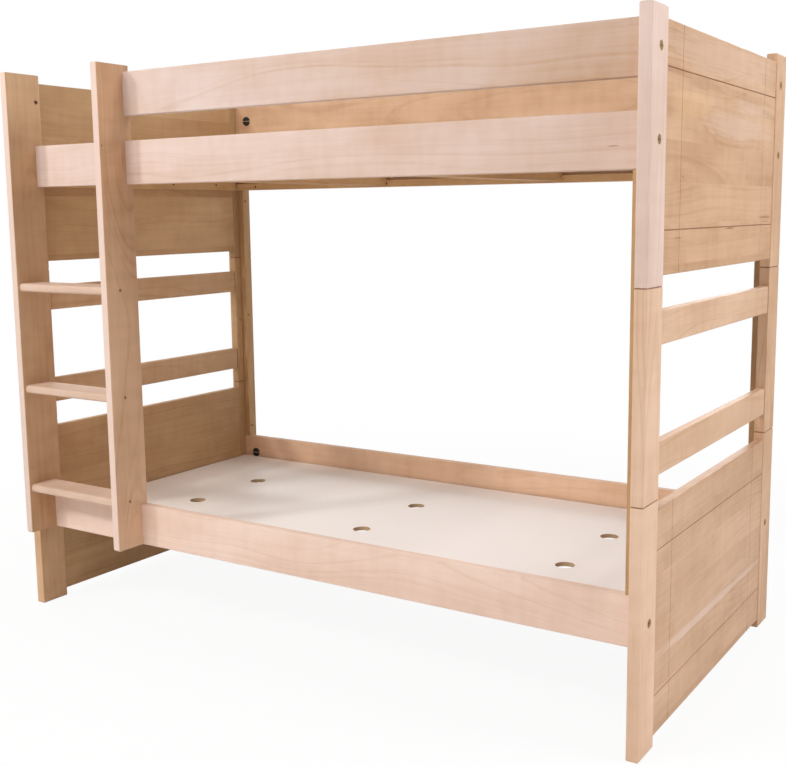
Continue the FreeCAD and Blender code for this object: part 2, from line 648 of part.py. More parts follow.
def cylinder(name, diameter, height, z="0"):
    item = doc.addObject("Part::Cylinder", name)
    bind(item, "Radius", f"({diameter}) / 2")
    bind(item, "Height", height)
    bind(item, "Placement.Base.z", z)
    return item


def headed_screw(name, shank, length, head, head_height, socket, socket_depth):
    """A screw about Z: its shank below the origin, its head above, a hexagon key socket on top."""
    stem = cylinder(name + "Stem", shank, length, f"-1 * {length}")
    cap = cylinder(name + "Cap", head, head_height)
    whole = joined("Part::Fuse", name + "Whole", stem, cap)
    key = doc.addObject("Part::Prism", name + "Key")
    key.Polygon = 6
    bind(key, "Circumradius", f"{socket} / 2")
    bind(key, "Height", f"{socket_depth} + overrun")
    bind(key, "Placement.Base.z", f"{head_height} - {socket_depth}")
    return joined("Part::Cut", name, whole, key)


def barrel_nut():
    """A nut about Z with a slotted flange above the origin and a cross hole for the bolt."""
    barrel = cylinder("NutBarrel", "nut_diameter", "nut_length", "-1 * nut_length")
    flange = cylinder("NutFlange", "nut_flange", "nut_flange_height")
    whole = joined("Part::Fuse", "NutWhole", barrel, flange)
    slot = doc.addObject("Part::Box", "NutSlot")
    bind(slot, "Length", "nut_flange")
    bind(slot, "Width", "nut_slot")
    bind(slot, "Height", "nut_slot + overrun")
    bind(slot, "Placement.Base.x", "-1 * nut_flange / 2")
    bind(slot, "Placement.Base.y", "-1 * nut_slot / 2")
    bind(slot, "Placement.Base.z", "nut_flange_height - nut_slot")
    slotted = joined("Part::Cut", "NutSlotted", whole, slot)
    hole = doc.addObject("Part::Cylinder", "NutHole")
    bind(hole, "Radius", "bolt_bore / 2")
    bind(hole, "Height", "nut_diameter + 2 * overrun")
    hole.Placement.Rotation = FreeCAD.Rotation(Z, X)
    bind(hole, "Placement.Base.x", "-1 * nut_diameter / 2 - overrun")
    bind(hole, "Placement.Base.z", "-1 * rail_thickness / 2")
    return joined("Part::Cut", "Nut", slotted, hole)


def group(label, master, places):
    """Copies of one fastener, each turned from Z to its own direction, as one named piece."""
    doc.recompute()
    copies = []
    for towards, x, y, z in places:
        copy = master.Shape.copy()
        spot = FreeCAD.Vector(value(x), value(f"bed_middle + {y}"), value(z))
        copy.Placement = FreeCAD.Placement(spot, FreeCAD.Rotation(Z, towards))
        copies.append(copy)
    item = doc.addObject("Part::Feature", label)
    item.Label = label
    item.Shape = Part.Compound(copies)
    item.Placement = FreeCAD.Placement()
    pieces.append(item)


def bolted_ends():
    """Each rail end that a bolt holds: direction, seat of the bolt's head, row and height."""
    post_seat = "bed_length / 2 - bolt_sink_depth"
    ends = []
    for row in (FRONT, REAR):
        for side in (LEFT, RIGHT):
            for foot in BUNKS.values():
                ends.append((side, f"{side} * ({post_seat})", row, f"{foot} + rail_line",
                             f"{side} * (rail_end - nut_distance)"))
            if (side, row) != (LEFT, FRONT):
                ends.append((side, f"{side} * ({post_seat})", row, "upper_foot + guard_line",
                             f"{side} * (rail_end - nut_distance)"))
    stile_face = f"{STILE_MIDDLES['right']} - stile_thickness / 2"
    ends.append((LEFT, f"{stile_face} + bolt_sink_depth", FRONT, "upper_foot + guard_line",
                 f"{stile_face} + stile_thickness + nut_distance"))
    return ends


def rail_fasteners():
    bolt = headed_screw("Bolt", "bolt_diameter", "bolt_length", "bolt_head", "bolt_head_height",
                        "bolt_socket", "bolt_socket_depth")
    group("rail_bolts", bolt, [(X * side, seat, f"{row} * rail_middle", up)
                               for side, seat, row, up, nut in bolted_ends()])
    group("barrel_nuts", barrel_nut(), [(Y * -row, nut, f"{row} * rail_inner", up)
                                        for side, seat, row, up, nut in bolted_ends()])


def stacking_pins():
    pin = cylinder("Pin", "pin_diameter", "pin_length")
    group("stacking_pins", pin,
          [(Z, f"{side} * (bed_length - post_thickness) / 2",
            f"{row} * post_middle + {step} * pin_spread / 2", f"{joint} - pin_length / 2")
           for side, row in CORNERS for step in (-1, 1) for joint in ("frame_height", "upper_foot")])


def frame_dowels():
    dowel = cylinder("Dowel", "dowel_diameter", "dowel_length")
    heights = [f"{foot} + frame_height / 2 + {up}" for foot in BUNKS.values()
               for up in PANEL_DOWEL_HEIGHTS]
    heights += [f"frame_height + {middle} + {step} * end_rail_dowel_spread / 2"
                for middle in END_RAIL_MIDDLES.values() for step in (-1, 1)]
    group("frame_dowels", dowel,
          [(Y, f"{side} * (bed_length - post_thickness) / 2",
            f"{row} * panel_side - dowel_length / 2", up)
           for side, row in CORNERS for up in heights])


def frame_screws():
    """The same screw holds the battens to the posts, the treads and the front rails to the stiles."""
    screw = headed_screw("Screw", "screw_diameter", "screw_length", "screw_head",
                         "screw_head_height", "screw_socket", "screw_socket_depth")
    places = [(X * -side, f"{side} * (rail_end - batten_thickness + screw_sink_depth)",
               f"{row} * rail_middle", up)
              for side, row in BATTEN_CORNERS for up in BATTEN_SCREW_HEIGHTS]
    for name, outer in (("left", LEFT), ("right", RIGHT)):
        seat = f"{STILE_MIDDLES[name]} + {outer} * (stile_thickness / 2 - screw_sink_depth)"
        places += [(X * outer, seat, "-1 * tread_y", f"rail_rise + {tread_height(index)}")
                   for index in range(len(TREADS))]
        places += [(Y, STILE_MIDDLES[name], "-1 * rail_inner - screw_sink_depth",
                    f"{foot} + rail_line + stile_screw_lift") for foot in BUNKS.values()]
    group("frame_screws", screw, places)


def cleat_screws():
    """Small screws that hold the cleats to the rails and panels, and the bearers to the cleats."""
    tack = headed_screw("Tack", "tack_diameter", "tack_length", "tack_head", "tack_head_height",
                        "tack_socket", "tack_socket_depth")
    places = []
    for foot in BUNKS.values():
        for row in (FRONT, REAR):
            inner = f"{row} * (rail_inner - cleat_depth + tack_head_height)"
            places += [(Y * -row, along, inner, f"{foot} + rail_rise + cleat_height / 2")
                       for along in cleat_tack_places("rail_end")]
            places += [(Z, f"{side} * bearer_spread / 2",
                        f"{row} * (bearer_length / 2 - bearer_tack_inset)",
                        f"{foot} + rail_rise + base_under - tack_head_height")
                       for side in (LEFT, RIGHT)]
        for side in (LEFT, RIGHT):
            seat = f"{side} * (end_cleat_x - end_cleat_thickness / 2 + tack_head_height)"
            places += [(X * -side, seat, along, f"{foot} + rail_rise + base_under / 2")
                       for along in cleat_tack_places("panel_side")]
    group("cleat_screws", tack, places)


def build_bed():
    for bunk in BUNKS:
        for side, row in CORNERS:
            end_frame_post(bunk, side, row)
        for side in (LEFT, RIGHT):
            end_panel(bunk, side)
            end_cleat(bunk, side)
            bearer(bunk, side)
        for row in (FRONT, REAR):
            side_rail(bunk, row)
            side_cleat(bunk, row)
        base_board(bunk)
    for side, row in CORNERS:
        spacer_post(side, row)
    for side in (LEFT, RIGHT):
        for level in END_RAIL_MIDDLES:
            end_rail(level, side)
    for side, row in BATTEN_CORNERS:
        corner_batten(side, row)
    for row in (FRONT, REAR):
        guard_rail(row)
    for name in STILE_MIDDLES:
        ladder_stile(name)
    for index in range(len(TREADS)):
        ladder_tread(index)
    rail_fasteners()
    stacking_pins()
    frame_dowels()
    frame_screws()
    cleat_screws()
    doc.recompute()


def check_and_write():
    for item in doc.Objects:
        if "Invalid" in item.State or "Error" in item.State:
            raise RuntimeError(f"{item.Label} did not build: {item.State}")
    for piece in pieces:
        if piece.Shape.isNull() or not piece.Shape.isValid():
            raise RuntimeError(f"{piece.Label} has no valid shape")
    os.makedirs("parts", exist_ok=True)
    for piece in pieces:
        piece.Shape.exportStep(os.path.join("parts", piece.Label + ".step"))


fill_sheet()
build_bed()
check_and_write()
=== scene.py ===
from fnmatch import fnmatch
from itertools import count
import math

import bmesh
import bpy
import numpy as np
from mathutils import Matrix, Vector


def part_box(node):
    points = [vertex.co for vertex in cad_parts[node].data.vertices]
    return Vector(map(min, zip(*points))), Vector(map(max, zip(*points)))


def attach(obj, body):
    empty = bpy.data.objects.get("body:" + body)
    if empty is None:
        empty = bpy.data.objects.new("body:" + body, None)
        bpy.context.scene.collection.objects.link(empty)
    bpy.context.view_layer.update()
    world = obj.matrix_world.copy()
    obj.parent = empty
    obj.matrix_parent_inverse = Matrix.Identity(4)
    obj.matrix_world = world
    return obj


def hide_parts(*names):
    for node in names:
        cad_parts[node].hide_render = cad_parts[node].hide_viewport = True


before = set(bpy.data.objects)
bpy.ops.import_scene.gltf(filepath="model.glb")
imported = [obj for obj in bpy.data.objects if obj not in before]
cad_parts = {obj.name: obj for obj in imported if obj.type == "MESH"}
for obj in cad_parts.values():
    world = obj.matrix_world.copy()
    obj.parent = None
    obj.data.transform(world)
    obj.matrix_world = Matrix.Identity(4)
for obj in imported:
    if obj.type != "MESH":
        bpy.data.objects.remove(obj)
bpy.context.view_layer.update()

bl_info = {
    "name": "Beech Bunk Bed",
    "version": (1, 0, 0),
    "blender": (4, 5, 0),
    "location": "View3D > Sidebar > Bunk Bed",
    "description": "Finishes a beech bunk bed and sets it in a plain studio",
    "category": "Object",
}


def tone(red, green, blue):
    """A colour as a picture editor gives it, 0 to 255, turned into Blender's linear values."""
    def linear(value):
        part = value / 255
        return part / 12.92 if part <= 0.04045 else ((part + 0.055) / 1.055) ** 2.4
    return (linear(red), linear(green), linear(blue))


# Settings


def colour(name, description, red, green, blue):
    return bpy.props.FloatVectorProperty(name=name, description=description, size=3, min=0, max=1,
                                         default=tone(red, green, blue), subtype="COLOR")


def number(name, description, value, **more):
    return bpy.props.FloatProperty(name=name, description=description, default=value, **more)


def length(name, description, value):
    return number(name, description, value, min=0, subtype="DISTANCE", unit="LENGTH", precision=4)


def share(name, description, value):
    return number(name, description, value, min=0, max=1, subtype="FACTOR")


def power(name, description, value):
    return number(name, description, value, min=0, unit="POWER")


def angle(name, description, degrees):
    return number(name, description, math.radians(degrees), subtype="ANGLE", unit="ROTATION")


class BunkBedWood(bpy.types.PropertyGroup):
    """Colours and figure of the beech."""
    pale_light: colour("Pale Light", "Rosy pale wood of the rails", 231, 208, 197)
    pale_dark: colour("Pale Dark", "Growth lines of the rosy pale wood", 203, 170, 150)
    peach_light: colour("Peach Light", "Peach wood of the lower posts", 236, 203, 177)
    peach_dark: colour("Peach Dark", "Growth lines of the peach wood", 199, 157, 123)
    honey_light: colour("Honey Light", "Honey wood of panels and stiles", 218, 180, 147)
    honey_dark: colour("Honey Dark", "Growth lines of the honey wood", 170, 126, 88)
    amber_light: colour("Amber Light", "Amber wood of cleats and battens", 214, 174, 126)
    amber_dark: colour("Amber Dark", "Growth lines of the amber wood", 172, 126, 80)
    seam: colour("Seam", "Shade in the grooves and where two pieces meet", 132, 82, 54)
    # Also the painted shade inside the left stile's spare bore.
    stain_and_shade: colour("Stain", "Knots and stains", 136, 82, 48)
    level_groove: length("Level Groove", "Panel's upper or lower edge to its level groove", 0.1)
    upright_groove: length("Upright Groove", "Panel's side edge to its upright groove", 0.108)
    end_grain: share("End Grain", "How much darker the cut ends are", 0.14)
    stave: length("Stave Width", "Width of the strips that a panel is glued from", 0.093)
    stave_tone: share("Stave Tone", "How much the strips of a panel differ in tone", 0.34)
    growth_lines: number("Growth Lines", "How many growth lines lie in a metre", 190, min=1)
    fibres: number("Fibres", "How many fibres lie in a metre", 620, min=1)
    roughness: share("Roughness", "Roughness of the oiled wood", 0.50)


class BunkBedBoard(bpy.types.PropertyGroup):
    """Colours of the base boards."""
    face: colour("Face", "White face of a base board", 235, 226, 221)
    # Painted light: the face is paler towards the ladder's end, to lift the shade that falls there.
    near_face_painted_light: colour("Near Face", "White face towards the ladder's end", 254, 247, 241)
    core: colour("Core", "Brown core that shows at the edges and in the holes", 160, 128, 96)
    roughness: share("Roughness", "Roughness of the white face", 0.42)


class BunkBedMetal(bpy.types.PropertyGroup):
    """Sizes and colours of the fasteners."""
    brass: colour("Brass", "Colour of the rail bolts", 192, 152, 78)
    nut: colour("Nut", "Colour of the barrel nuts", 38, 36, 35)
    zinc: colour("Zinc", "Colour of the frame screws and pins", 176, 138, 104)
    slot: colour("Slot", "Bare steel in the slot of a barrel nut", 206, 206, 206)
    dark: colour("Dark Screw", "Colour of the cleat screws", 74, 66, 58)
    bolt_head: length("Bolt Head", "Rail bolt, across its head", 0.020)
    bolt_head_height: length("Bolt Head Height", "Rail bolt, height of its head", 0.005)
    bolt_shank: length("Bolt Shank", "Rail bolt, across its shank", 0.008)
    bolt_key: length("Bolt Key", "Rail bolt, across the corners of its key socket", 0.007)
    nut_flange: length("Nut Flange", "Barrel nut, across its flange", 0.033)
    nut_flange_height: length("Nut Flange Height", "Barrel nut, height of its flange", 0.004)
    nut_barrel: length("Nut Barrel", "Barrel nut, across its barrel", 0.013)
    nut_slot: length("Nut Slot", "Barrel nut, width of its slot", 0.003)
    screw_head: length("Screw Head", "Frame screw, across its head", 0.009)
    screw_head_height: length("Screw Head Height", "Frame screw, height of its head", 0.003)
    screw_shank: length("Screw Shank", "Frame screw, across its shank", 0.005)
    screw_key: length("Screw Key", "Frame screw, across the corners of its key socket", 0.0045)
    tack_head: length("Cleat Screw Head", "Cleat screw, across its head", 0.008)
    tack_head_height: length("Cleat Screw Head Height", "Cleat screw, height of its head", 0.0025)
    tack_shank: length("Cleat Screw Shank", "Cleat screw, across its shank", 0.004)
    tack_key: length("Cleat Screw Key", "Cleat screw, across the corners of its key", 0.0035)


class BunkBedStage(bpy.types.PropertyGroup):
    """Camera, floor and lamps."""
    camera_place: bpy.props.FloatVectorProperty(
        name="Camera Place", description="Where the camera stands",
        default=(1.9002, -2.7954, 1.2629), size=3, subtype="XYZ", unit="LENGTH")
    camera_turn: angle("Camera Turn", "Turn of the view to the left of the rear wall", 32.637)
    camera_dip: angle("Camera Dip", "How far the view points down", 8.170)
    camera_roll: angle("Camera Roll", "Roll of the camera about its view", -0.569)
    lens_pixels: number("Lens", "Focal length, in pixels of the picture", 1107.23)
    middle: bpy.props.FloatVectorProperty(
        name="Middle", description="Pixel that the lens looks at, from the upper left corner",
        default=(413.04, 369.95), size=2)
    picture: bpy.props.IntVectorProperty(
        name="Picture", description="Width and height of the picture, in pixels",
        default=(786, 766), size=2)
    floor: colour("Floor", "Colour of the floor", 246, 245, 244)
    floor_glow: share("Floor Glow", "How much of the floor shows plain white to the camera", 0.92)
    floor_reach: length("Floor Reach", "From the bed to where the floor is all white", 3.6)
    front_power: power("Front Lamp", "Power of the high lamp in front", 72)
    corner_power: power("Corner Lamp", "Power of the lamp before the ladder's corner", 90)
    foot_power: power("Foot Lamp", "Power of the low lamp in front", 18)
    top_power: power("Top Lamp", "Power of the lamp above", 30)
    right_power: power("Right Lamp", "Power of the high lamp at the right", 86)
    low_power: power("Low Lamp", "Power of the low lamp at the right", 20)
    left_power: power("Left Lamp", "Power of the lamp at the left", 62)
    rear_power: power("Rear Lamp", "Power of the lamp behind the bed", 66)
    fill: number("Fill", "Strength of the light from all round", 0.12, min=0)


# The bed's boards

SIDES = ("left", "right")
ROWS = ("front", "rear")
BUNKS = ("lower", "upper")
FRAMES = ("lower", "spacer", "upper")
LEVELS = ("low", "high")
# The wood of each board; the first line that fits its name counts. The columns are a wood, a wood
# that it leans to, how far its light tone leans, how far its growth lines do, and its brightness.
# Some brightnesses are painted shade, as noted.
WOODS = (
    ("upper_post_front_right", "pale", "pale", 0.0, 0.0, 1.0),
    ("*_post_front_right", "peach", "peach", 0.0, 0.0, 1.0),
    ("*_post_front_left", "honey", "amber", 0.3, 0.3, 1.08),
    # Painted shade: the rear left posts are darker, the upper one most, for the shade in the rear
    # left corner.
    ("upper_post_rear_left", "amber", "honey", 0.2, 0.2, 0.74),
    ("*_post_rear_left", "amber", "honey", 0.2, 0.2, 0.85),
    ("*_post_rear_right", "peach", "honey", 0.8, 0.8, 1.0),
    ("*_panel_left", "honey", "amber", 0.75, 0.75, 0.92),
    ("lower_panel_right", "honey", "pale", 0.1, 0.1, 1.0),
    ("upper_panel_right", "honey", "honey", 0.0, 0.0, 1.0),
    ("spacer_rail_*_left", "honey", "amber", 0.4, 0.4, 1.0),
    ("spacer_rail_low_right", "peach", "honey", 0.6, 0.6, 1.0),
    ("spacer_rail_high_right", "peach", "honey", 0.35, 0.35, 1.0),
    ("lower_side_rail_front", "pale", "peach", 0.25, 0.25, 1.12),
    ("lower_side_rail_rear", "peach", "honey", 0.3, 0.3, 1.12),
    ("upper_side_rail_front", "pale", "peach", 0.0, 0.4, 0.96),
    ("upper_side_rail_rear", "peach", "honey", 0.4, 0.4, 1.0),
    ("guard_rail_front", "pale", "peach", 0.0, 1.0, 0.88),
    ("guard_rail_rear", "honey", "honey", 0.0, 0.0, 1.06),
    # Painted shade: the rear right batten is darker, for the shade in its corner.
    ("corner_batten_rear_right", "amber", "amber", 0.0, 0.0, 0.68),
    ("corner_batten_*", "amber", "amber", 0.0, 0.0, 0.85),
    ("ladder_stile_left", "honey", "amber", 0.35, 0.35, 1.0),
    ("ladder_stile_right", "honey", "peach", 0.1, 0.1, 1.10),
    ("ladder_tread_*", "pale", "peach", 0.6, 0.6, 0.93),
    ("*", "amber", "amber", 0.0, 0.0, 1.0))
# How much darker a board gets in each metre of its length: partly the wood's own change of tone,
# partly painted shade where the light falls off along the front rails and the stiles.
SLOPES = {"lower_side_rail_front": 0.08, "upper_side_rail_front": 0.18, "guard_rail_front": 0.38,
          "ladder_stile_left": -0.1, "ladder_stile_right": 0.55}
# How much paler the narrow edges of a stile are: a painted highlight, as the light falls more on
# them than on its faces.
STILE_EDGE_HIGHLIGHT = 0.75
# The first seed of each group of boards, and the step from board to board.
SEEDS = {"posts": (3, 7), "panels": (101, 11), "spacer_rails": (151, 11), "rails": (211, 1),
         "battens": (251, 1), "stiles": (301, 1), "treads": (311, 1), "carriers": (401, 5),
         "dowels": (601, 1)}
# Painted shade in the joints of the posts and in the panels' grooves, as dark lines where the gaps
# lie in shade: half the width, and the depth.
JOINT_SEAM = (0.0014, 0.8)
LEVEL_SEAM = (0.0013, 0.75)
UPRIGHT_SEAM = (0.0012, 0.5)
OUTER_FACE, MARK_THROUGH = 1.037, 0.02


def outer(y, z, reach_y, reach_z, depth, colour_name="stain_and_shade"):
    """A mark on the outer face of a right panel."""
    return (colour_name, (OUTER_FACE, y, z), (MARK_THROUGH, reach_y, reach_z), depth)


# Patches, knots and stains in the wood, and painted shade inside a bore: colour, place, reach along
# X, Y and Z, and depth.
MARKS = {
    "upper_panel_right": (
        outer(0.00, 1.625, 0.62, 0.060, 0.20, "pale_light"),
        outer(0.14, 1.468, 0.34, 0.044, 0.26, "pale_light"),
        outer(0.24, 1.524, 0.20, 0.022, 0.22, "pale_light"),
        outer(-0.25, 1.500, 0.17, 0.042, 0.40, "amber_light"),
        outer(-0.14, 1.552, 0.20, 0.020, 0.28),
        outer(0.22, 1.548, 0.26, 0.014, 0.20),
        outer(-0.36, 1.568, 0.14, 0.016, 0.24),
        outer(0.408, 1.236, 0.074, 0.005, 0.6),
        outer(0.410, 1.224, 0.060, 0.003, 0.5),
        outer(0.080, 1.211, 0.054, 0.003, 0.8),
        outer(-0.317, 1.196, 0.038, 0.002, 0.8),
        outer(-0.293, 1.334, 0.005, 0.004, 0.8),
        outer(0.217, 1.344, 0.004, 0.014, 0.4)),
    "lower_panel_right": (outer(0.0, 0.215, 0.60, 0.016, 0.45, "pale_light"),),
    "upper_side_rail_front": (("stain_and_shade", (0.939, -0.471, 1.400), (0.018, 0.02, 0.0014), 0.75),),
    "ladder_tread_low": (("stain_and_shade", (-0.6845, -0.5858, 0.415), (0.010, 0.012, 0.01), 0.5),),
    # Painted shade: the dark inside of the spare bore in the left stile.
    "ladder_stile_left": (("stain_and_shade", (-0.986, -0.4585, 1.6075), (0.05, 0.0095, 0.0095), 0.9),),
    "ladder_stile_right": (("stain_and_shade", (-0.5765, -0.5594, 1.4565), (0.01, 0.0036, 0.0036), 0.85),)}


# Materials

AXES = {"X": (1.0, 0.0, 0.0), "Y": (0.0, 1.0, 0.0), "Z": (0.0, 0.0, 1.0)}
# A surface starts to count as facing a direction at the first cosine, and does so from the second.
TURNED = (0.5, 0.9)


class Nodes:
    """A node tree, with short calls for adding nodes and joining them."""

    def __init__(self, tree):
        self.tree = tree

    def add(self, kind, settings=None, **inputs):
        node = self.tree.nodes.new(kind)
        for name, value in (settings or {}).items():
            setattr(node, name, value)
        for name, value in inputs.items():
            self.feed(node.inputs[name.replace("_", " ")], value)
        return node

    def feed(self, socket, value):
        if isinstance(value, bpy.types.NodeSocket):
            self.tree.links.new(value, socket)
        elif value is not None:
            socket.default_value = value

    def feed_all(self, node, *values):
        for socket, value in zip(node.inputs, values):
            self.feed(socket, value)

    def math(self, operation, first, second=None, third=None, clamp=False):
        node = self.add("ShaderNodeMath", {"operation": operation, "use_clamp": clamp})
        self.feed_all(node, first, second, third)
        return node.outputs[0]

    def vector(self, operation, first, second=None):
        node = self.add("ShaderNodeVectorMath", {"operation": operation})
        self.feed_all(node, first, second)
        return node.outputs["Value" if operation in ("LENGTH", "DOT_PRODUCT") else "Vector"]

    def mix(self, factor, first, second):
        """A mix of two colours: the first at 0, the second at 1."""
        node = self.add("ShaderNodeMix", {"data_type": "RGBA"})
        self.feed(node.inputs[0], factor)
        self.feed(node.inputs[6], first)
        self.feed(node.inputs[7], second)
        return node.outputs[2]

    def parts(self, vector):
        """The X, Y and Z of a vector."""
        return self.add("ShaderNodeSeparateXYZ", Vector=vector).outputs

    def join(self, x=None, y=None, z=None):
        return self.add("ShaderNodeCombineXYZ", X=x, Y=y, Z=z).outputs[0]

    def times(self, first, second):
        return self.math("MULTIPLY", first, second)

    def flip(self, value):
        """1 less the value."""
        return self.math("SUBTRACT", 1.0, value)

    def spread(self, value, width):
        """A value between 0 and 1, spread over the width round 0."""
        return self.math("MULTIPLY_ADD", value, width, -width / 2)

    def noise(self, place, scale=1.0, detail=2.0, roughness=0.5):
        """Noise at a place, with one scale or one for each axis."""
        if isinstance(scale, tuple):
            place, scale = self.vector("MULTIPLY", place, scale), 1.0
        node = self.add("ShaderNodeTexNoise", Vector=place, Scale=scale, Detail=detail,
                        Roughness=roughness)
        return node.outputs["Fac"]

    def band(self, value, low, high):
        """0 up to low, 1 from high, and a smooth rise between."""
        node = self.add("ShaderNodeMapRange", {"interpolation_type": "SMOOTHSTEP"},
                        From_Min=low, From_Max=high)
        self.feed(node.inputs["Value"], value)
        return node.outputs["Result"]

    def spot(self):
        """The place on the object, in its own coordinates."""
        return self.add("ShaderNodeTexCoord").outputs["Object"]

    def faces(self, direction):
        """1 where the surface faces along the direction or against it, and 0 elsewhere."""
        facing = self.add("ShaderNodeNewGeometry").outputs["True Normal"]
        return self.band(self.math("ABSOLUTE", self.vector("DOT_PRODUCT", facing, direction)),
                         *TURNED)

    def coat(self, shader, paint, roughness, height, strength, distance):
        """Gives a Principled shader its colour, its roughness and its fine relief."""
        self.feed(shader.inputs["Base Color"], paint)
        self.feed(shader.inputs["Roughness"], roughness)
        bump = self.add("ShaderNodeBump", Strength=strength, Distance=distance, Height=height)
        self.feed(shader.inputs["Normal"], bump.outputs[0])

    def blend(self, factor, first, second):
        """A mix of two shaders: the first at 0, the second at 1."""
        node = self.add("ShaderNodeMixShader")
        self.feed_all(node, factor, first.outputs[0], second.outputs[0])
        return node.outputs[0]


def rgba(value):
    return (value[0], value[1], value[2], 1.0)


# The beech's figure. Each glued strip of a panel has one of its own.
STRIP_START = 5.0  # metres aside of a board's middle, where its strips are counted from
WHOLE_BOARD = 10.0  # strip width of a board that isn't glued, which is wider than any board
STRIP_SLIDE = 40.0  # metres that the figure of one strip may slide against another's
# The pith lies below the board and wanders, so the growth lines open into long arches.
PITH_PACE = (1.1, 2.5, 2.5)
PITH_ASIDE = 0.20  # from strip to strip
PITH_SWAY = 0.12
PITH_DEPTHS = (0.16, 0.04)  # how much the depth wanders, and the least depth
LINE_PACE = 0.25  # how fast the growth lines change along the board
LINES, LINE_DEPTH = (0.50, 0.72), 0.20  # the noise between which they set in, and their darkness
PALEST = 0.08  # darkness of wood without any figure
# Clouds, mottle and streaks: scale along, across and through the board, detail and roughness of
# the noise, the noise between which they set in, and how much they darken.
LAYERS = (
    ((3.0, 7.0, 7.0), 3.0, 0.55, 0.28, 0.72, 0.34),
    ((26.0, 7.0, 7.0), 2.0, 0.5, 0.35, 0.75, 0.12),
    ((1.6, 75.0, 75.0), 3.0, 0.6, 0.35, 0.75, 0.12))
FIBRE_PACE = 14.0  # how fast the fibres change along the board
FIBRE_DEPTH = 0.10
FLECK_SCALE = (170.0, 900.0, 900.0)
FLECKS, FLECK_DEPTH = (0.66, 0.76), 0.08
CUT_END = (0.24, 0.12, 0.06)
ROUGHNESS_SPREAD = 0.16
# How far the fibres and growth lines stand up, and how far the flecks lie lower.
HEIGHTS = (0.6, 0.3, 0.5)
WOOD_SHEEN = 0.30
WOOD_BUMP = (0.18, 0.0004)  # strength and distance

FIGURE_SOCKETS = (
    ("INPUT", "Vector", ("Board",)), ("INPUT", "Color", ("Light", "Dark")),
    ("INPUT", "Float", ("Seed", "Stave", "Stave Tone", "Slope", "Lines", "Fibres", "Cut End",
                        "End Grain", "Roughness")),
    ("OUTPUT", "Color", ("Color",)), ("OUTPUT", "Float", ("Roughness", "Height")))


def beech_figure():
    """The node group that draws beech on a board: growth lines, clouds, mottle, fibres, flecks.

    Board is the place on the board: along its grain, across it and through its thickness."""
    group = bpy.data.node_groups.new("Beech Figure", "ShaderNodeTree")
    for way, kind, names in FIGURE_SOCKETS:
        for name in names:
            group.interface.new_socket(name=name, in_out=way, socket_type="NodeSocket" + kind)
    n = Nodes(group)
    given = n.add("NodeGroupInput").outputs
    along, across, through = n.parts(given["Board"])
    # Each strip has a number, and so its own figure and tone.
    strip = n.math("FLOOR", n.math("DIVIDE", n.math("ADD", across, STRIP_START), given["Stave"]))
    chance = n.add("ShaderNodeTexWhiteNoise", {"noise_dimensions": "2D"},
                   Vector=n.join(strip, given["Seed"]))
    drawn = n.add("ShaderNodeSeparateColor", Color=chance.outputs["Color"]).outputs
    slide = n.math("ADD", along, n.times(drawn[0], STRIP_SLIDE))
    place = n.join(slide, across, through)
    slow = n.vector("MULTIPLY", place, PITH_PACE)
    sway = n.add("ShaderNodeTexNoise", Vector=slow, Scale=1.0, Detail=1.0).outputs["Color"]
    sway = n.add("ShaderNodeSeparateColor", Color=sway).outputs
    side = n.math("ADD", n.spread(drawn[1], PITH_ASIDE),
                  n.math("ADD", across, n.spread(sway[0], PITH_SWAY)))
    depth = n.math("ADD", n.math("MULTIPLY_ADD", sway[1], *PITH_DEPTHS), through)
    ring = n.times(n.vector("LENGTH", n.join(side, depth)), given["Lines"])
    ring_place = n.join(ring, n.times(slide, LINE_PACE), given["Seed"])
    lines = n.noise(ring_place)
    fine = n.join(n.times(slide, FIBRE_PACE),
                  *(n.times(way, given["Fibres"]) for way in (across, through)))
    fibres = n.noise(fine)
    flecks = n.band(n.noise(place, FLECK_SCALE, 0.0), *FLECKS)
    # Everything adds to one darkness from 0, pale, to 1, dark.
    shade = n.math("MULTIPLY_ADD", n.band(lines, *LINES), LINE_DEPTH, PALEST)
    for scale, detail, roughness, low, high, darkness in LAYERS:
        layer = n.noise(place, scale, detail, roughness)
        shade = n.math("MULTIPLY_ADD", n.band(layer, low, high), darkness, shade)
    shade = n.math("MULTIPLY_ADD", fibres, FIBRE_DEPTH, shade)
    shade = n.math("MULTIPLY_ADD", flecks, FLECK_DEPTH, shade)
    shade = n.math("MULTIPLY_ADD", n.math("SUBTRACT", drawn[2], 0.5), given["Stave Tone"], shade)
    # The slope darkens the board along its length, partly as painted shade.
    shade = n.math("MULTIPLY_ADD", along, given["Slope"], shade, clamp=True)
    wood = n.mix(shade, given["Light"], given["Dark"])
    wood = n.mix(n.times(given["Cut End"], given["End Grain"]), wood, rgba(CUT_END))
    rough = n.math("ADD", given["Roughness"], n.spread(fibres, ROUGHNESS_SPREAD))
    fibre_height, line_height, fleck_height = HEIGHTS
    height = n.math("MULTIPLY_ADD", fibres, fibre_height, n.times(lines, line_height))
    height = n.math("SUBTRACT", height, n.times(flecks, fleck_height))
    n.add("NodeGroupOutput", Color=wood, Roughness=rough, Height=height)


def principled(name):
    """A new material, its nodes and its Principled shader."""
    material = bpy.data.materials.new(name)
    material.use_nodes = True
    shader = next(node for node in material.node_tree.nodes if node.type == "BSDF_PRINCIPLED")
    return material, Nodes(material.node_tree), shader


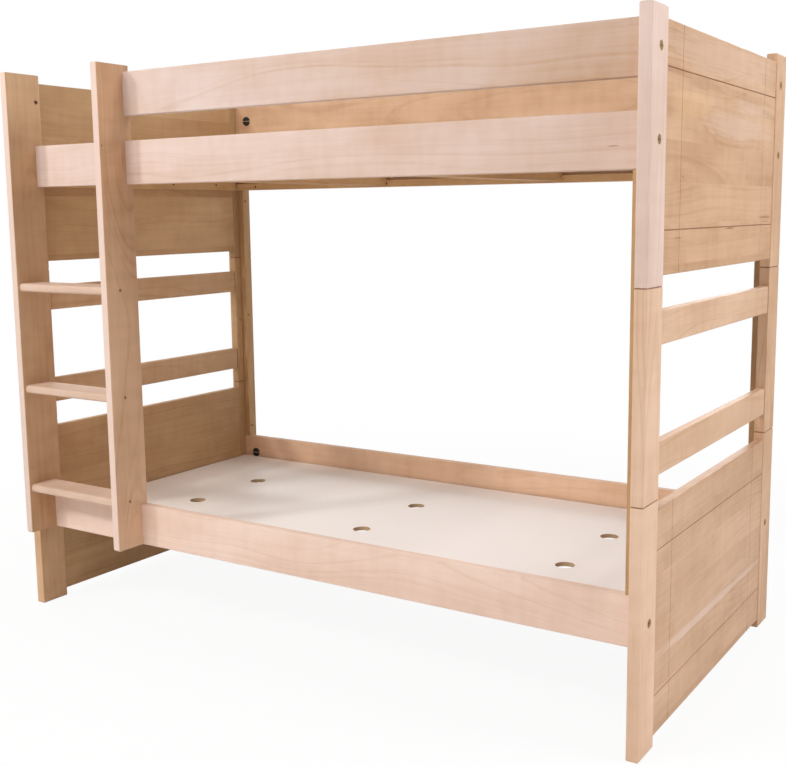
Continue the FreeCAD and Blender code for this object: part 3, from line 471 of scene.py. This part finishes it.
def shades_of(name):
    """The light tone of a board's wood and the tone of its growth lines."""
    wood = bpy.context.scene.bunk_bed_wood
    own, other, light, lines, bright = next(row[1:] for row in WOODS if fnmatch(name, row[0]))
    mixed = []
    for ending, amount in (("light", light), ("dark", lines)):
        one = getattr(wood, f"{own}_{ending}")
        two = getattr(wood, f"{other}_{ending}")
        mixed.append(tuple(min(1.0, (a + (b - a) * amount) * bright) for a, b in zip(one, two)))
    return mixed


# The rims of the marks: how fine their streaks are, how far these reach, and where a rim begins
# and ends, as shares of the mark's reach.
MARK_STREAKS = (9.0, 200.0, 200.0)
MARK_RIPPLE = 1.1
MARK_RIM = (0.35, 1.0)
# Where a seam begins and ends to fade, as shares of half its width.
SEAM_FADE = (0.6, 1.3)
# How far out of a panel's middle a seam of its outer face begins and is full, in metres.
SEAM_OUT = (0.004, 0.008)


def paint_marks(n, wood, paint, marks, spot, board):
    """Patches, knots, stains and painted shade in a bore, with streaky rims."""
    ripple = n.spread(n.noise(board, MARK_STREAKS), MARK_RIPPLE)
    for colour_name, place, size, depth in marks:
        away = n.vector("DIVIDE", n.vector("SUBTRACT", spot, place), size)
        reach = n.math("ADD", n.vector("LENGTH", away), ripple)
        mark = n.times(n.flip(n.band(reach, *MARK_RIM)), depth)
        paint = n.mix(mark, paint, rgba(getattr(wood, colour_name)))
    return paint


def paint_seam_shade(n, wood, paint, seams, spot, middle):
    """Painted shade: dark lines in the grooves and joints."""
    parts = n.parts(spot)
    for axis, at, half, depth, shown in seams:
        off = n.math("ABSOLUTE", n.math("SUBTRACT", parts[axis], at))
        fade = n.band(off, half * SEAM_FADE[0], half * SEAM_FADE[1])
        line = n.times(n.flip(fade), depth)
        if shown:
            ahead = n.times(n.math("SUBTRACT", parts["X"], middle.x), float(shown))
            line = n.times(line, n.band(ahead, *SEAM_OUT))
        paint = n.mix(line, paint, rgba(wood.seam))
    return paint


def beech(name, order, seed, stave=WHOLE_BOARD, edge=0.0, seams=()):
    """Beech for one board. Order names the axes along, across and through the board.

    Stave is the width of the strips that it is glued from, and edge pales its narrow edges. A
    seam is a dark line: its axis, its place there, half its width, its depth, and 1 or -1 for the
    side along X that it shows on, or 0 for all round."""
    wood = bpy.context.scene.bunk_bed_wood
    low, high = (Vector(corner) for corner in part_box(name))
    middle = (low + high) / 2
    material, n, shader = principled("Beech " + name)
    spot = n.spot()
    parts = n.parts(n.vector("SUBTRACT", spot, tuple(middle)))
    board = n.join(*(parts[axis] for axis in order))
    light, dark = shades_of(name)
    figure = n.add("ShaderNodeGroup", {"node_tree": bpy.data.node_groups["Beech Figure"]},
                   Board=board, Seed=float(seed), Light=rgba(light), Dark=rgba(dark), Stave=stave,
                   Stave_Tone=0.0 if stave == WHOLE_BOARD else wood.stave_tone,
                   Slope=SLOPES.get(name, 0.0), Lines=wood.growth_lines, Fibres=wood.fibres,
                   Cut_End=n.faces(AXES[order[0]]), End_Grain=wood.end_grain,
                   Roughness=wood.roughness).outputs
    paint = figure["Color"]
    # Painted highlight: the narrow edges, which face the light, are made paler than the faces.
    if edge:
        narrow = n.faces(AXES[order[1]])
        paint = n.mix(n.times(narrow, edge), paint, rgba(wood.pale_light))
    if name in MARKS:
        paint = paint_marks(n, wood, paint, MARKS[name], spot, board)
    # Painted shade: dark lines along the grooves and joints.
    if seams:
        paint = paint_seam_shade(n, wood, paint, seams, spot, middle)
    shader.inputs["Specular IOR Level"].default_value = WOOD_SHEEN
    n.coat(shader, paint, figure["Roughness"], figure["Height"], *WOOD_BUMP)
    return material


def dress(node, material):
    """Gives a CAD node its material."""
    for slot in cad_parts[node].material_slots:
        slot.material = material


def dress_all(group, order, names, **more):
    """Gives each board of a group its beech, with a seed of its own."""
    for name, seed in zip(names, count(*SEEDS[group])):
        dress(name, beech(name, order, seed, **more))


# The white boards: a faint haze on the face, and paler chips in the core.
# Painted light: the near face is paler, to lift the shade at the ladder's end.
PAINTED_LIGHT_SPAN = (-0.7, 0.8)  # where along X the near face's white turns into the face's, in metres
HAZE_SCALE = (2.5, 4.0, 4.0)
HAZE_DEPTH = 0.10
HAZE = tone(226, 204, 188)
CHIP = tone(206, 176, 138)
CHIP_SCALE = 900.0
CHIPS = (0.35, 0.65)
CORE_ROUGHER = 0.35
FACE_GRAIN = (1400.0, 0.1)  # scale and height
BOARD_BUMP = (0.2, 0.0004)


def white_board(name):
    """White facing over a brown core, which shows where the board is cut."""
    look = bpy.context.scene.bunk_bed_board
    material, n, shader = principled("White Board " + name)
    spot = n.spot()
    core = n.flip(n.faces(AXES["Z"]))
    haze = n.noise(spot, HAZE_SCALE, 3.0)
    # Painted light: the face turns paler towards the ladder's end.
    white = n.mix(n.band(n.parts(spot)["X"], *PAINTED_LIGHT_SPAN), rgba(look.near_face_painted_light), rgba(look.face))
    face = n.mix(n.times(haze, HAZE_DEPTH), white, rgba(HAZE))
    chips = n.noise(spot, CHIP_SCALE)
    brown = n.mix(n.band(chips, *CHIPS), rgba(look.core), rgba(CHIP))
    rough = n.math("MULTIPLY_ADD", core, CORE_ROUGHER, look.roughness)
    grain_scale, grain_height = FACE_GRAIN
    grain = n.times(n.noise(spot, grain_scale, 1.0), grain_height)
    relief = n.math("MULTIPLY_ADD", chips, core, grain)
    n.coat(shader, n.mix(core, face, brown), rough, relief, *BOARD_BUMP)
    return material


# The metals: the setting of the colour, how metallic and how rough it is, and its worn colour.
METALS = {
    "Yellow Plating": ("brass", 1.0, 0.36, tone(98, 72, 34)),
    "Zinc Plating": ("zinc", 0.5, 0.42, tone(140, 98, 66)),
    "Dark Plating": ("dark", 0.8, 0.45, tone(110, 92, 72)),
    "Blackening": ("nut", 0.3, 0.40, tone(16, 15, 15)),
    "Bare Steel": ("slot", 1.0, 0.30, tone(160, 158, 156))}
WEAR_SCALE = 260.0
WEAR = (0.35, 0.75)  # the noise between which it sets in
WEAR_ROUGHNESS = 0.22
TURNING_SCALE = 2600.0
METAL_BUMP = (0.15, 0.0001)


def metal(name):
    """Plated or blackened metal with fine turning marks and a little wear."""
    setting, metallic, roughness, worn = METALS[name]
    fresh = getattr(bpy.context.scene.bunk_bed_metal, setting)
    material, n, shader = principled(name)
    spot = n.spot()
    wear = n.noise(spot, WEAR_SCALE, 3.0, 0.6)
    paint = n.mix(n.band(wear, *WEAR), rgba(fresh), rgba(worn))
    shader.inputs["Metallic"].default_value = metallic
    rough = n.math("ADD", roughness, n.spread(wear, WEAR_ROUGHNESS))
    n.coat(shader, paint, rough, n.noise(spot, TURNING_SCALE), *METAL_BUMP)
    return material


# Fasteners

HEAD_SIDES, BARREL_SIDES, SHANK_SIDES, KEY_SIDES = 40, 28, 20, 6
SAME_POINT = 1e-5  # points of the CAD mesh that lie closer than this are one
HEAD_FROM = 0.75  # a point this many shank diameters off the axis belongs to the head


def add_object(name, data):
    """A new object in the scene."""
    item = bpy.data.objects.new(name, data)
    bpy.context.collection.objects.link(item)
    return item


def islands(node):
    """The separate solids of a CAD node: the points of each."""
    mesh = bmesh.new()
    mesh.from_mesh(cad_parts[node].data)
    bmesh.ops.remove_doubles(mesh, verts=mesh.verts, dist=SAME_POINT)
    mesh.verts.ensure_lookup_table()
    seen, groups = set(), []
    for start in mesh.verts:
        if start.index in seen:
            continue
        seen.add(start.index)
        stack, points = [start], []
        while stack:
            vert = stack.pop()
            points.append(vert.co.copy())
            for edge in vert.link_edges:
                other = edge.other_vert(vert)
                if other.index not in seen:
                    seen.add(other.index)
                    stack.append(other)
        groups.append(np.array(points))
    mesh.free()
    return groups


def seats(node, shank):
    """Where each headed fastener of a CAD node sits, which way its head faces, and its length.

    The seat is the underside of the head, on the fastener's own axis."""
    found = []
    for points in islands(node):
        low, high = points.min(0), points.max(0)
        # It is as wide one way as the other, so its axis is the direction left over.
        size = high - low
        axis = min(range(3), key=lambda k: abs(size[(k + 1) % 3] - size[(k + 2) % 3]))
        middle = (low + high) / 2
        off = points - middle
        off[:, axis] = 0
        wide = points[np.linalg.norm(off, axis=1) > shank * HEAD_FROM][:, axis]
        up = wide.mean() > middle[axis]
        seat = middle.copy()
        seat[axis] = wide.min() if up else wide.max()
        tip = low[axis] if up else high[axis]
        facing = np.zeros(3)
        facing[axis] = 1 if up else -1
        found.append((seat, facing, abs(seat[axis] - tip)))
    return found


def seat_points(name, found):
    """A mesh of one point for each seat, with the direction that the head faces."""
    mesh = bpy.data.meshes.new(name)
    mesh.from_pydata([tuple(seat) for seat, facing, reach in found], [], [])
    facing = mesh.attributes.new("facing", "FLOAT_VECTOR", "POINT")
    for item, (seat, direction, reach) in zip(facing.data, found):
        item.vector = direction
    return add_object(name, mesh)


def new_tree(name, inputs):
    """A tree that takes points, sizes in metres and materials, and gives back a mesh."""
    tree = bpy.data.node_groups.new(name, "GeometryNodeTree")
    tree.is_modifier = True
    face = tree.interface
    face.new_socket(name="Geometry", in_out="INPUT", socket_type="NodeSocketGeometry")
    for label in inputs:
        kind = "NodeSocketMaterial" if label.endswith("Material") else "NodeSocketFloat"
        face.new_socket(name=label, in_out="INPUT", socket_type=kind)
    face.new_socket(name="Geometry", in_out="OUTPUT", socket_type="NodeSocketGeometry")
    return tree, Nodes(tree)


def lifted(n, mesh, height):
    """A mesh, moved up by the height."""
    moved = n.add("GeometryNodeTransform", Geometry=mesh, Translation=n.join(z=height))
    return moved.outputs[0]


def rod(n, radius, height, bottom, sides):
    """A closed round or many-sided rod along Z that stands on the height bottom."""
    made = n.add("GeometryNodeMeshCylinder", Vertices=sides, Radius=radius, Depth=height)
    return lifted(n, made.outputs["Mesh"], n.math("ADD", bottom, n.times(height, 0.5)))


def rim(n, radius, bevel, bottom):
    """A cone stump along Z, which bevels the rim of a head."""
    made = n.add("GeometryNodeMeshCone", Vertices=HEAD_SIDES, Radius_Bottom=radius, Depth=bevel,
                 Radius_Top=n.math("SUBTRACT", radius, bevel))
    return lifted(n, made.outputs["Mesh"], bottom)


def boolean(n, operation, first, *others):
    node = n.add("GeometryNodeMeshBoolean", {"operation": operation, "solver": "EXACT"})
    if operation == "DIFFERENCE":
        n.feed(node.inputs["Mesh 1"], first)
    else:
        others = (first,) + others
    for item in others:
        n.tree.links.new(item, node.inputs["Mesh 2"])
    return node.outputs["Mesh"]


def headed(n, given, head, shank, sides):
    """A round head with a bevelled rim on Z = 0, and its shank below."""
    radius = n.times(given[head + " Diameter"], 0.5)
    straight = n.math("SUBTRACT", given[head + " Height"], given["Rim"])
    stem = rod(n, n.times(given[shank + " Diameter"], 0.5), given["Reach"],
               n.times(given["Reach"], -1.0), sides)
    return boolean(n, "UNION", rod(n, radius, straight, 0.0, HEAD_SIDES),
                   rim(n, radius, given["Rim"], straight), stem)


def set_out(n, given, fastener, bare=None):
    """Puts one fastener at each point, turned to face its own way, as real mesh.

    Bare picks the faces of the fastener that show the second material."""
    if bare is not None:
        kind = {"data_type": "BOOLEAN", "domain": "FACE"}
        marked = n.add("GeometryNodeStoreNamedAttribute", kind, Geometry=fastener, Name="bare",
                       Value=bare)
        fastener = marked.outputs["Geometry"]
    facing = n.add("GeometryNodeInputNamedAttribute", {"data_type": "FLOAT_VECTOR"}, Name="facing")
    turn = n.add("FunctionNodeAlignRotationToVector", {"axis": "Z"},
                 Vector=facing.outputs["Attribute"])
    placed = n.add("GeometryNodeInstanceOnPoints", Points=given["Geometry"], Instance=fastener,
                   Rotation=turn.outputs[0])
    real = n.add("GeometryNodeRealizeInstances", Geometry=placed.outputs[0])
    painted = n.add("GeometryNodeSetMaterial", Geometry=real.outputs[0],
                    Material=given["Material"])
    if bare is not None:
        picked = n.add("GeometryNodeInputNamedAttribute", {"data_type": "BOOLEAN"}, Name="bare")
        painted = n.add("GeometryNodeSetMaterial", Geometry=painted.outputs[0],
                        Selection=picked.outputs["Attribute"], Material=given["Slot Material"])
    n.add("NodeGroupOutput", Geometry=painted.outputs[0])


SCREW_INPUTS = ("Head Diameter", "Head Height", "Shank Diameter", "Reach", "Key Diameter",
                "Key Depth", "Rim", "Material")


def screw_tree():
    """Round-headed screws with a bevelled rim and a hexagon key socket."""
    tree, n = new_tree("Key Screws", SCREW_INPUTS)
    given = n.add("NodeGroupInput").outputs
    whole = headed(n, given, "Head", "Shank", SHANK_SIDES)
    floor = n.math("SUBTRACT", given["Head Height"], given["Key Depth"])
    radius = n.times(given["Key Diameter"], 0.5)
    key = rod(n, radius, given["Head Height"], floor, KEY_SIDES)
    set_out(n, given, boolean(n, "DIFFERENCE", whole, key))
    return tree


NUT_INPUTS = ("Flange Diameter", "Flange Height", "Barrel Diameter", "Reach", "Slot", "Rim",
              "Material", "Slot Material")
# How far the middle of the slot's cutter lies under the flange's top, in widths of the slot.
SLOT_SINK = 0.3
# The slot's bare faces: how far to each side, in widths of the slot, and between which shares of
# the flange's height.
BARE_SIDE = 0.55
BARE_LOW, BARE_HIGH = 0.25, 0.95


def nut_tree():
    """Barrel nuts with a bevelled flange, crossed by a slot."""
    tree, n = new_tree("Barrel Nuts", NUT_INPUTS)
    given = n.add("NodeGroupInput").outputs
    height, slot = given["Flange Height"], given["Slot"]
    whole = headed(n, given, "Flange", "Barrel", BARREL_SIDES)
    across = n.times(given["Flange Diameter"], 2.0)
    cutter = n.add("GeometryNodeMeshCube", Size=n.join(across, slot, slot))
    cutter = lifted(n, cutter.outputs["Mesh"],
                    n.math("SUBTRACT", height, n.times(slot, SLOT_SINK)))
    middle = n.parts(n.add("GeometryNodeInputPosition").outputs[0])
    beside = n.math("LESS_THAN", n.math("ABSOLUTE", middle["Y"]),
                    n.times(slot, BARE_SIDE))
    above = n.math("GREATER_THAN", middle["Z"], n.times(height, BARE_LOW))
    below = n.math("LESS_THAN", middle["Z"], n.times(height, BARE_HIGH))
    bare = n.times(n.times(beside, above), below)
    set_out(n, given, boolean(n, "DIFFERENCE", whole, cutter), bare)
    return tree


def grow(points, tree, sizes, name):
    """Runs the tree on the points and keeps the result as a plain mesh."""
    modifier = points.modifiers.new("Fasteners", "NODES")
    modifier.node_group = tree
    sockets = {item.name: item.identifier for item in tree.interface.items_tree
               if item.item_type == "SOCKET" and item.in_out == "INPUT"}
    for label, value in sizes.items():
        modifier[sockets[label]] = value
    bpy.context.view_layer.update()
    evaluated = points.evaluated_get(bpy.context.evaluated_depsgraph_get())
    mesh = bpy.data.meshes.new_from_object(evaluated)
    piece = add_object(name, mesh)
    bpy.data.objects.remove(points)
    if len(mesh.polygons) == 0:
        raise RuntimeError(f"{name} came out empty")
    return piece


def shade_by_angle(piece, degrees=30.0):
    """Smooth faces, with sharp edges kept where the surface turns."""
    mesh = piece.data
    mesh.polygons.foreach_set("use_smooth", [True] * len(mesh.polygons))
    mesh.set_sharp_from_angle(angle=math.radians(degrees))


def fit(node, shank, tree, sizes):
    """Puts detailed fasteners in place of a CAD node's, each on its own seat."""
    found = seats(node, shank)
    sizes["Reach"] = float(found[0][2])
    piece = grow(seat_points(node + "_seats", found), tree, sizes, node + "_detailed")
    shade_by_angle(piece)
    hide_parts(node)
    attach(piece, "root")


# Operators


class BunkBedPiece:
    """What the operators share."""
    bl_options = {"REGISTER", "UNDO"}


class BUNKBED_OT_figure(BunkBedPiece, bpy.types.Operator):
    """Makes the beech figure that all boards share"""
    bl_idname = "bunkbed.figure"
    bl_label = "Beech Figure"

    def execute(self, context):
        beech_figure()
        return {"FINISHED"}


class BUNKBED_OT_posts(BunkBedPiece, bpy.types.Operator):
    """Finishes the posts of the stacked end frames"""
    bl_idname = "bunkbed.posts"
    bl_label = "End Posts"

    def execute(self, context):
        seeds = count(*SEEDS["posts"])
        for level in FRAMES:
            for row in ROWS:
                for side in SIDES:
                    name = f"{level}_post_{row}_{side}"
                    foot, head = (corner[2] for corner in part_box(name))
                    joints = [("Z", at, *JOINT_SEAM, 0) for at, met in
                              ((foot, level != "lower"), (head, level != "upper")) if met]
                    dress(name, beech(name, "ZYX", next(seeds), seams=joints))
        return {"FINISHED"}


class BUNKBED_OT_panels(BunkBedPiece, bpy.types.Operator):
    """Finishes the solid end panels, glued from level strips"""
    bl_idname = "bunkbed.panels"
    bl_label = "End Panels"

    def execute(self, context):
        wood = context.scene.bunk_bed_wood
        level, upright = wood.level_groove, wood.upright_groove
        seeds = count(*SEEDS["panels"])
        for bunk in BUNKS:
            for side, out in zip(SIDES, (-1, 1)):
                name = f"{bunk}_panel_{side}"
                low, high = (Vector(corner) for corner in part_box(name))
                seams = [("Z", at, *LEVEL_SEAM, out) for at in (low.z + level, high.z - level)]
                seams += [("Y", at, *UPRIGHT_SEAM, out)
                          for at in (low.y + upright, high.y - upright)]
                dress(name, beech(name, "YZX", next(seeds), wood.stave, seams=seams))
        return {"FINISHED"}


class BUNKBED_OT_spacer_rails(BunkBedPiece, bpy.types.Operator):
    """Finishes the rails between the stacked panels"""
    bl_idname = "bunkbed.spacer_rails"
    bl_label = "Spacer Rails"

    def execute(self, context):
        dress_all("spacer_rails", "YZX",
                  [f"spacer_rail_{level}_{side}" for level in LEVELS for side in SIDES])
        return {"FINISHED"}


class BUNKBED_OT_rails(BunkBedPiece, bpy.types.Operator):
    """Finishes the side rails and the guard rails"""
    bl_idname = "bunkbed.rails"
    bl_label = "Rails"

    def execute(self, context):
        kinds = ("lower_side_rail", "upper_side_rail", "guard_rail")
        dress_all("rails", "XZY", [f"{kind}_{row}" for kind in kinds for row in ROWS])
        return {"FINISHED"}


class BUNKBED_OT_battens(BunkBedPiece, bpy.types.Operator):
    """Finishes the upright battens in the corners"""
    bl_idname = "bunkbed.battens"
    bl_label = "Corner Battens"

    def execute(self, context):
        corners = ("front_right", "rear_left", "rear_right")
        dress_all("battens", "ZXY", [f"corner_batten_{corner}" for corner in corners])
        return {"FINISHED"}


class BUNKBED_OT_ladder(BunkBedPiece, bpy.types.Operator):
    """Finishes the ladder's stiles and treads"""
    bl_idname = "bunkbed.ladder"
    bl_label = "Ladder"

    def execute(self, context):
        dress_all("stiles", "ZYX", [f"ladder_stile_{side}" for side in SIDES], edge=STILE_EDGE_HIGHLIGHT)
        dress_all("treads", "XYZ", [f"ladder_tread_{level}" for level in ("low", "middle", "high")])
        return {"FINISHED"}


class BUNKBED_OT_carriers(BunkBedPiece, bpy.types.Operator):
    """Finishes the cleats and bearers that carry the base boards"""
    bl_idname = "bunkbed.carriers"
    bl_label = "Cleats and Bearers"

    def execute(self, context):
        seeds = count(*SEEDS["carriers"])
        for bunk in BUNKS:
            for kind, ends, order in (("side_cleat", ROWS, "XZY"), ("end_cleat", SIDES, "YZX"),
                                      ("bearer", SIDES, "YXZ")):
                for end in ends:
                    name = f"{bunk}_{kind}_{end}"
                    dress(name, beech(name, order, next(seeds)))
        return {"FINISHED"}


class BUNKBED_OT_base_boards(BunkBedPiece, bpy.types.Operator):
    """Finishes the white base boards"""
    bl_idname = "bunkbed.base_boards"
    bl_label = "Base Boards"

    def execute(self, context):
        for bunk in BUNKS:
            dress(f"{bunk}_base_board", white_board(bunk))
        return {"FINISHED"}


# The screws: CAD node, the words that their settings start with, material slot and metal.
SCREWS = (("rail_bolts", "bolt", "bolt_brass", "Yellow Plating"),
          ("frame_screws", "screw", "screw_steel", "Zinc Plating"),
          ("cleat_screws", "tack", "screw_black", "Dark Plating"))
KEY_SHARE = 0.6  # how deep a key socket is, of the head's height
RIM_SHARE = 0.2  # how high a bevelled rim is, of the head's height


class BUNKBED_OT_fasteners(BunkBedPiece, bpy.types.Operator):
    """Sets bolts, nuts and screws with detailed heads in the holes"""
    bl_idname = "bunkbed.fasteners"
    bl_label = "Fasteners"

    def execute(self, context):
        look = context.scene.bunk_bed_metal
        metals = {name: metal(name) for name in METALS}
        tree = screw_tree()
        for node, word, slot, paint in SCREWS:
            head, height, shank, key = (getattr(look, f"{word}_{part}")
                                        for part in ("head", "head_height", "shank", "key"))
            fit(node, shank, tree, {
                "Head Diameter": head, "Head Height": height, "Shank Diameter": shank,
                "Key Diameter": key, "Key Depth": height * KEY_SHARE, "Rim": height * RIM_SHARE,
                "Material": metals[paint]})
        fit("barrel_nuts", look.nut_barrel, nut_tree(), {
            "Flange Diameter": look.nut_flange, "Flange Height": look.nut_flange_height,
            "Barrel Diameter": look.nut_barrel, "Slot": look.nut_slot,
            "Rim": look.nut_flange_height * RIM_SHARE, "Material": metals["Blackening"],
            "Slot Material": metals["Bare Steel"]})
        dress("stacking_pins", metals["Zinc Plating"])
        dress_all("dowels", "YXZ", ["frame_dowels"])
        return {"FINISHED"}


# The lamps: the word in their name and in their setting, place, what they point at, and size.
LAMPS = (
    ("front", (-1.35, -3.9, 3.9), (0.0, -0.3, 0.8), (1.1, 1.1)),
    ("corner", (-2.9, -4.2, 3.7), (0.0, -0.4, 0.8), (0.6, 0.6)),
    ("foot", (0.8, -4.4, 0.8), (0.4, -0.5, 0.5), (1.6, 1.0)),
    ("top", (0.4, -2.4, 4.2), (0.0, 0.0, 1.2), (2.2, 1.6)),
    ("right", (3.8, 0.2, 3.4), (0.9, 0.0, 0.9), (1.3, 1.3)),
    ("low", (4.0, -0.4, 0.9), (0.9, 0.0, 0.6), (1.6, 1.2)),
    ("left", (-4.5, 0.4, 2.0), (-0.9, 0.0, 0.9), (2.0, 2.0)),
    ("rear", (0.2, 4.8, 2.6), (0.0, 0.5, 0.9), (1.4, 1.6)))
WHITE = (1.0, 1.0, 1.0)
SKY = (1.0, 0.99, 0.98)
SENSOR = 36.0  # millimetres across
FLOOR_RADIUS = 60.0
FLOOR_CLOUDS = (3.0, 0.1)  # scale and depth
FLOOR_SHADE = tone(232, 231, 229)
FLOOR_ROUGHNESS, FLOOR_SHEEN = 0.8, 0.1
FLOOR_NEAR = 0.4  # where the floor starts to turn white, as a share of its reach


def lamp(name, place, target, size, watts):
    light = bpy.data.lights.new(name, "AREA")
    light.shape = "RECTANGLE"
    light.size, light.size_y = size
    light.energy = watts
    item = add_object(name, light)
    item.location = place
    item.rotation_euler = (Vector(target) - Vector(place)).to_track_quat("-Z", "Y").to_euler()


class BUNKBED_OT_stage(BunkBedPiece, bpy.types.Operator):
    """Lays the floor and sets the lamps, the sky and the camera"""
    bl_idname = "bunkbed.stage"
    bl_label = "Stage"

    def execute(self, context):
        look = context.scene.bunk_bed_stage
        self.lay_floor(look)
        self.set_sky(look)
        for word, place, target, size in LAMPS:
            lamp(word.title() + " Lamp", place, target, size, getattr(look, word + "_power"))
        self.set_camera(look)
        context.scene.view_settings.view_transform = "Standard"
        return {"FINISHED"}

    def lay_floor(self, look):
        mesh = bpy.data.meshes.new("Floor")
        sheet = bmesh.new()
        bmesh.ops.create_circle(sheet, cap_ends=True, segments=96, radius=FLOOR_RADIUS)
        sheet.to_mesh(mesh)
        sheet.free()
        floor = add_object("Floor", mesh)
        material, n, shader = principled("Studio Floor")
        spot = n.spot()
        scale, depth = FLOOR_CLOUDS
        clouds = n.times(n.noise(spot, scale), depth)
        n.feed(shader.inputs["Base Color"], n.mix(clouds, rgba(look.floor), rgba(FLOOR_SHADE)))
        shader.inputs["Roughness"].default_value = FLOOR_ROUGHNESS
        shader.inputs["Specular IOR Level"].default_value = FLOOR_SHEEN
        glow = n.add("ShaderNodeEmission", Color=rgba(WHITE), Strength=1.0)
        rays = n.add("ShaderNodeLightPath").outputs
        seen = n.math("MAXIMUM", rays["Is Camera Ray"], rays["Is Transmission Ray"])
        # Away from the bed the floor turns plain white, so that no line ends it.
        far = n.band(n.vector("LENGTH", spot), look.floor_reach * FLOOR_NEAR, look.floor_reach)
        white = n.math("ADD", look.floor_glow, n.times(far, 1.0 - look.floor_glow))
        output = next(node for node in material.node_tree.nodes if node.type == "OUTPUT_MATERIAL")
        n.feed(output.inputs["Surface"], n.blend(n.times(seen, white), shader, glow))
        mesh.materials.append(material)

    def set_sky(self, look):
        world = bpy.data.worlds.new("Studio")
        bpy.context.scene.world = world
        world.use_nodes = True
        n = Nodes(world.node_tree)
        world.node_tree.nodes.clear()
        rays = n.add("ShaderNodeLightPath").outputs
        seen = n.math("MAXIMUM", n.math("MAXIMUM", rays["Is Camera Ray"], rays["Is Glossy Ray"]),
                      rays["Is Transmission Ray"])
        soft = n.add("ShaderNodeBackground", Color=rgba(SKY), Strength=look.fill)
        plain = n.add("ShaderNodeBackground", Color=rgba(WHITE), Strength=1.0)
        n.add("ShaderNodeOutputWorld", Surface=n.blend(seen, soft, plain))

    def set_camera(self, look):
        turn, dip, roll = look.camera_turn, look.camera_dip, look.camera_roll
        ahead = Vector((-math.sin(turn) * math.cos(dip), math.cos(turn) * math.cos(dip),
                        -math.sin(dip)))
        right = Vector((math.cos(turn), math.sin(turn), 0.0))
        up = right.cross(ahead)
        rolled_right = right * math.cos(roll) + up * math.sin(roll)
        rolled_up = up * math.cos(roll) - right * math.sin(roll)
        camera = bpy.data.cameras.new("Camera")
        width, height = look.picture
        camera.sensor_fit = "HORIZONTAL"
        camera.sensor_width = SENSOR
        camera.lens = look.lens_pixels / width * camera.sensor_width
        camera.shift_x = -(look.middle[0] - width / 2) / width
        camera.shift_y = (look.middle[1] - height / 2) / width
        item = add_object("Camera", camera)
        item.matrix_world = Matrix.Translation(look.camera_place) @ Matrix(
            (rolled_right, rolled_up, -ahead)).transposed().to_4x4()
        bpy.context.scene.camera = item


class BUNKBED_PT_panel(bpy.types.Panel):
    """Lists the bed's groups of pieces and their settings"""
    bl_idname = "BUNKBED_PT_panel"
    bl_label = "Bunk Bed"
    bl_space_type = "VIEW_3D"
    bl_region_type = "UI"
    bl_category = "Bunk Bed"

    def draw(self, context):
        for operator in OPERATORS:
            self.layout.operator(operator.bl_idname)
        for title, attribute, group in SETTINGS:
            box = self.layout.box()
            box.label(text=title)
            for name in group.__annotations__:
                box.prop(getattr(context.scene, attribute), name)


OPERATORS = (BUNKBED_OT_figure, BUNKBED_OT_posts, BUNKBED_OT_panels, BUNKBED_OT_spacer_rails,
             BUNKBED_OT_rails, BUNKBED_OT_battens, BUNKBED_OT_ladder, BUNKBED_OT_carriers,
             BUNKBED_OT_base_boards, BUNKBED_OT_fasteners, BUNKBED_OT_stage)
SETTINGS = (("Wood", "bunk_bed_wood", BunkBedWood),
            ("Base Boards", "bunk_bed_board", BunkBedBoard),
            ("Fasteners", "bunk_bed_metal", BunkBedMetal),
            ("Stage", "bunk_bed_stage", BunkBedStage))


def register():
    for title, attribute, group in SETTINGS:
        bpy.utils.register_class(group)
        setattr(bpy.types.Scene, attribute, bpy.props.PointerProperty(type=group))
    for operator in OPERATORS:
        bpy.utils.register_class(operator)
    bpy.utils.register_class(BUNKBED_PT_panel)


def unregister():
    bpy.utils.unregister_class(BUNKBED_PT_panel)
    for operator in reversed(OPERATORS):
        bpy.utils.unregister_class(operator)
    for title, attribute, group in SETTINGS:
        delattr(bpy.types.Scene, attribute)
        bpy.utils.unregister_class(group)


def main():
    register()
    for operator in OPERATORS:
        category, name = operator.bl_idname.split(".")
        if getattr(getattr(bpy.ops, category), name)() != {"FINISHED"}:
            raise RuntimeError(f"{operator.bl_label} did not finish")


if __name__ == "__main__":
    main()
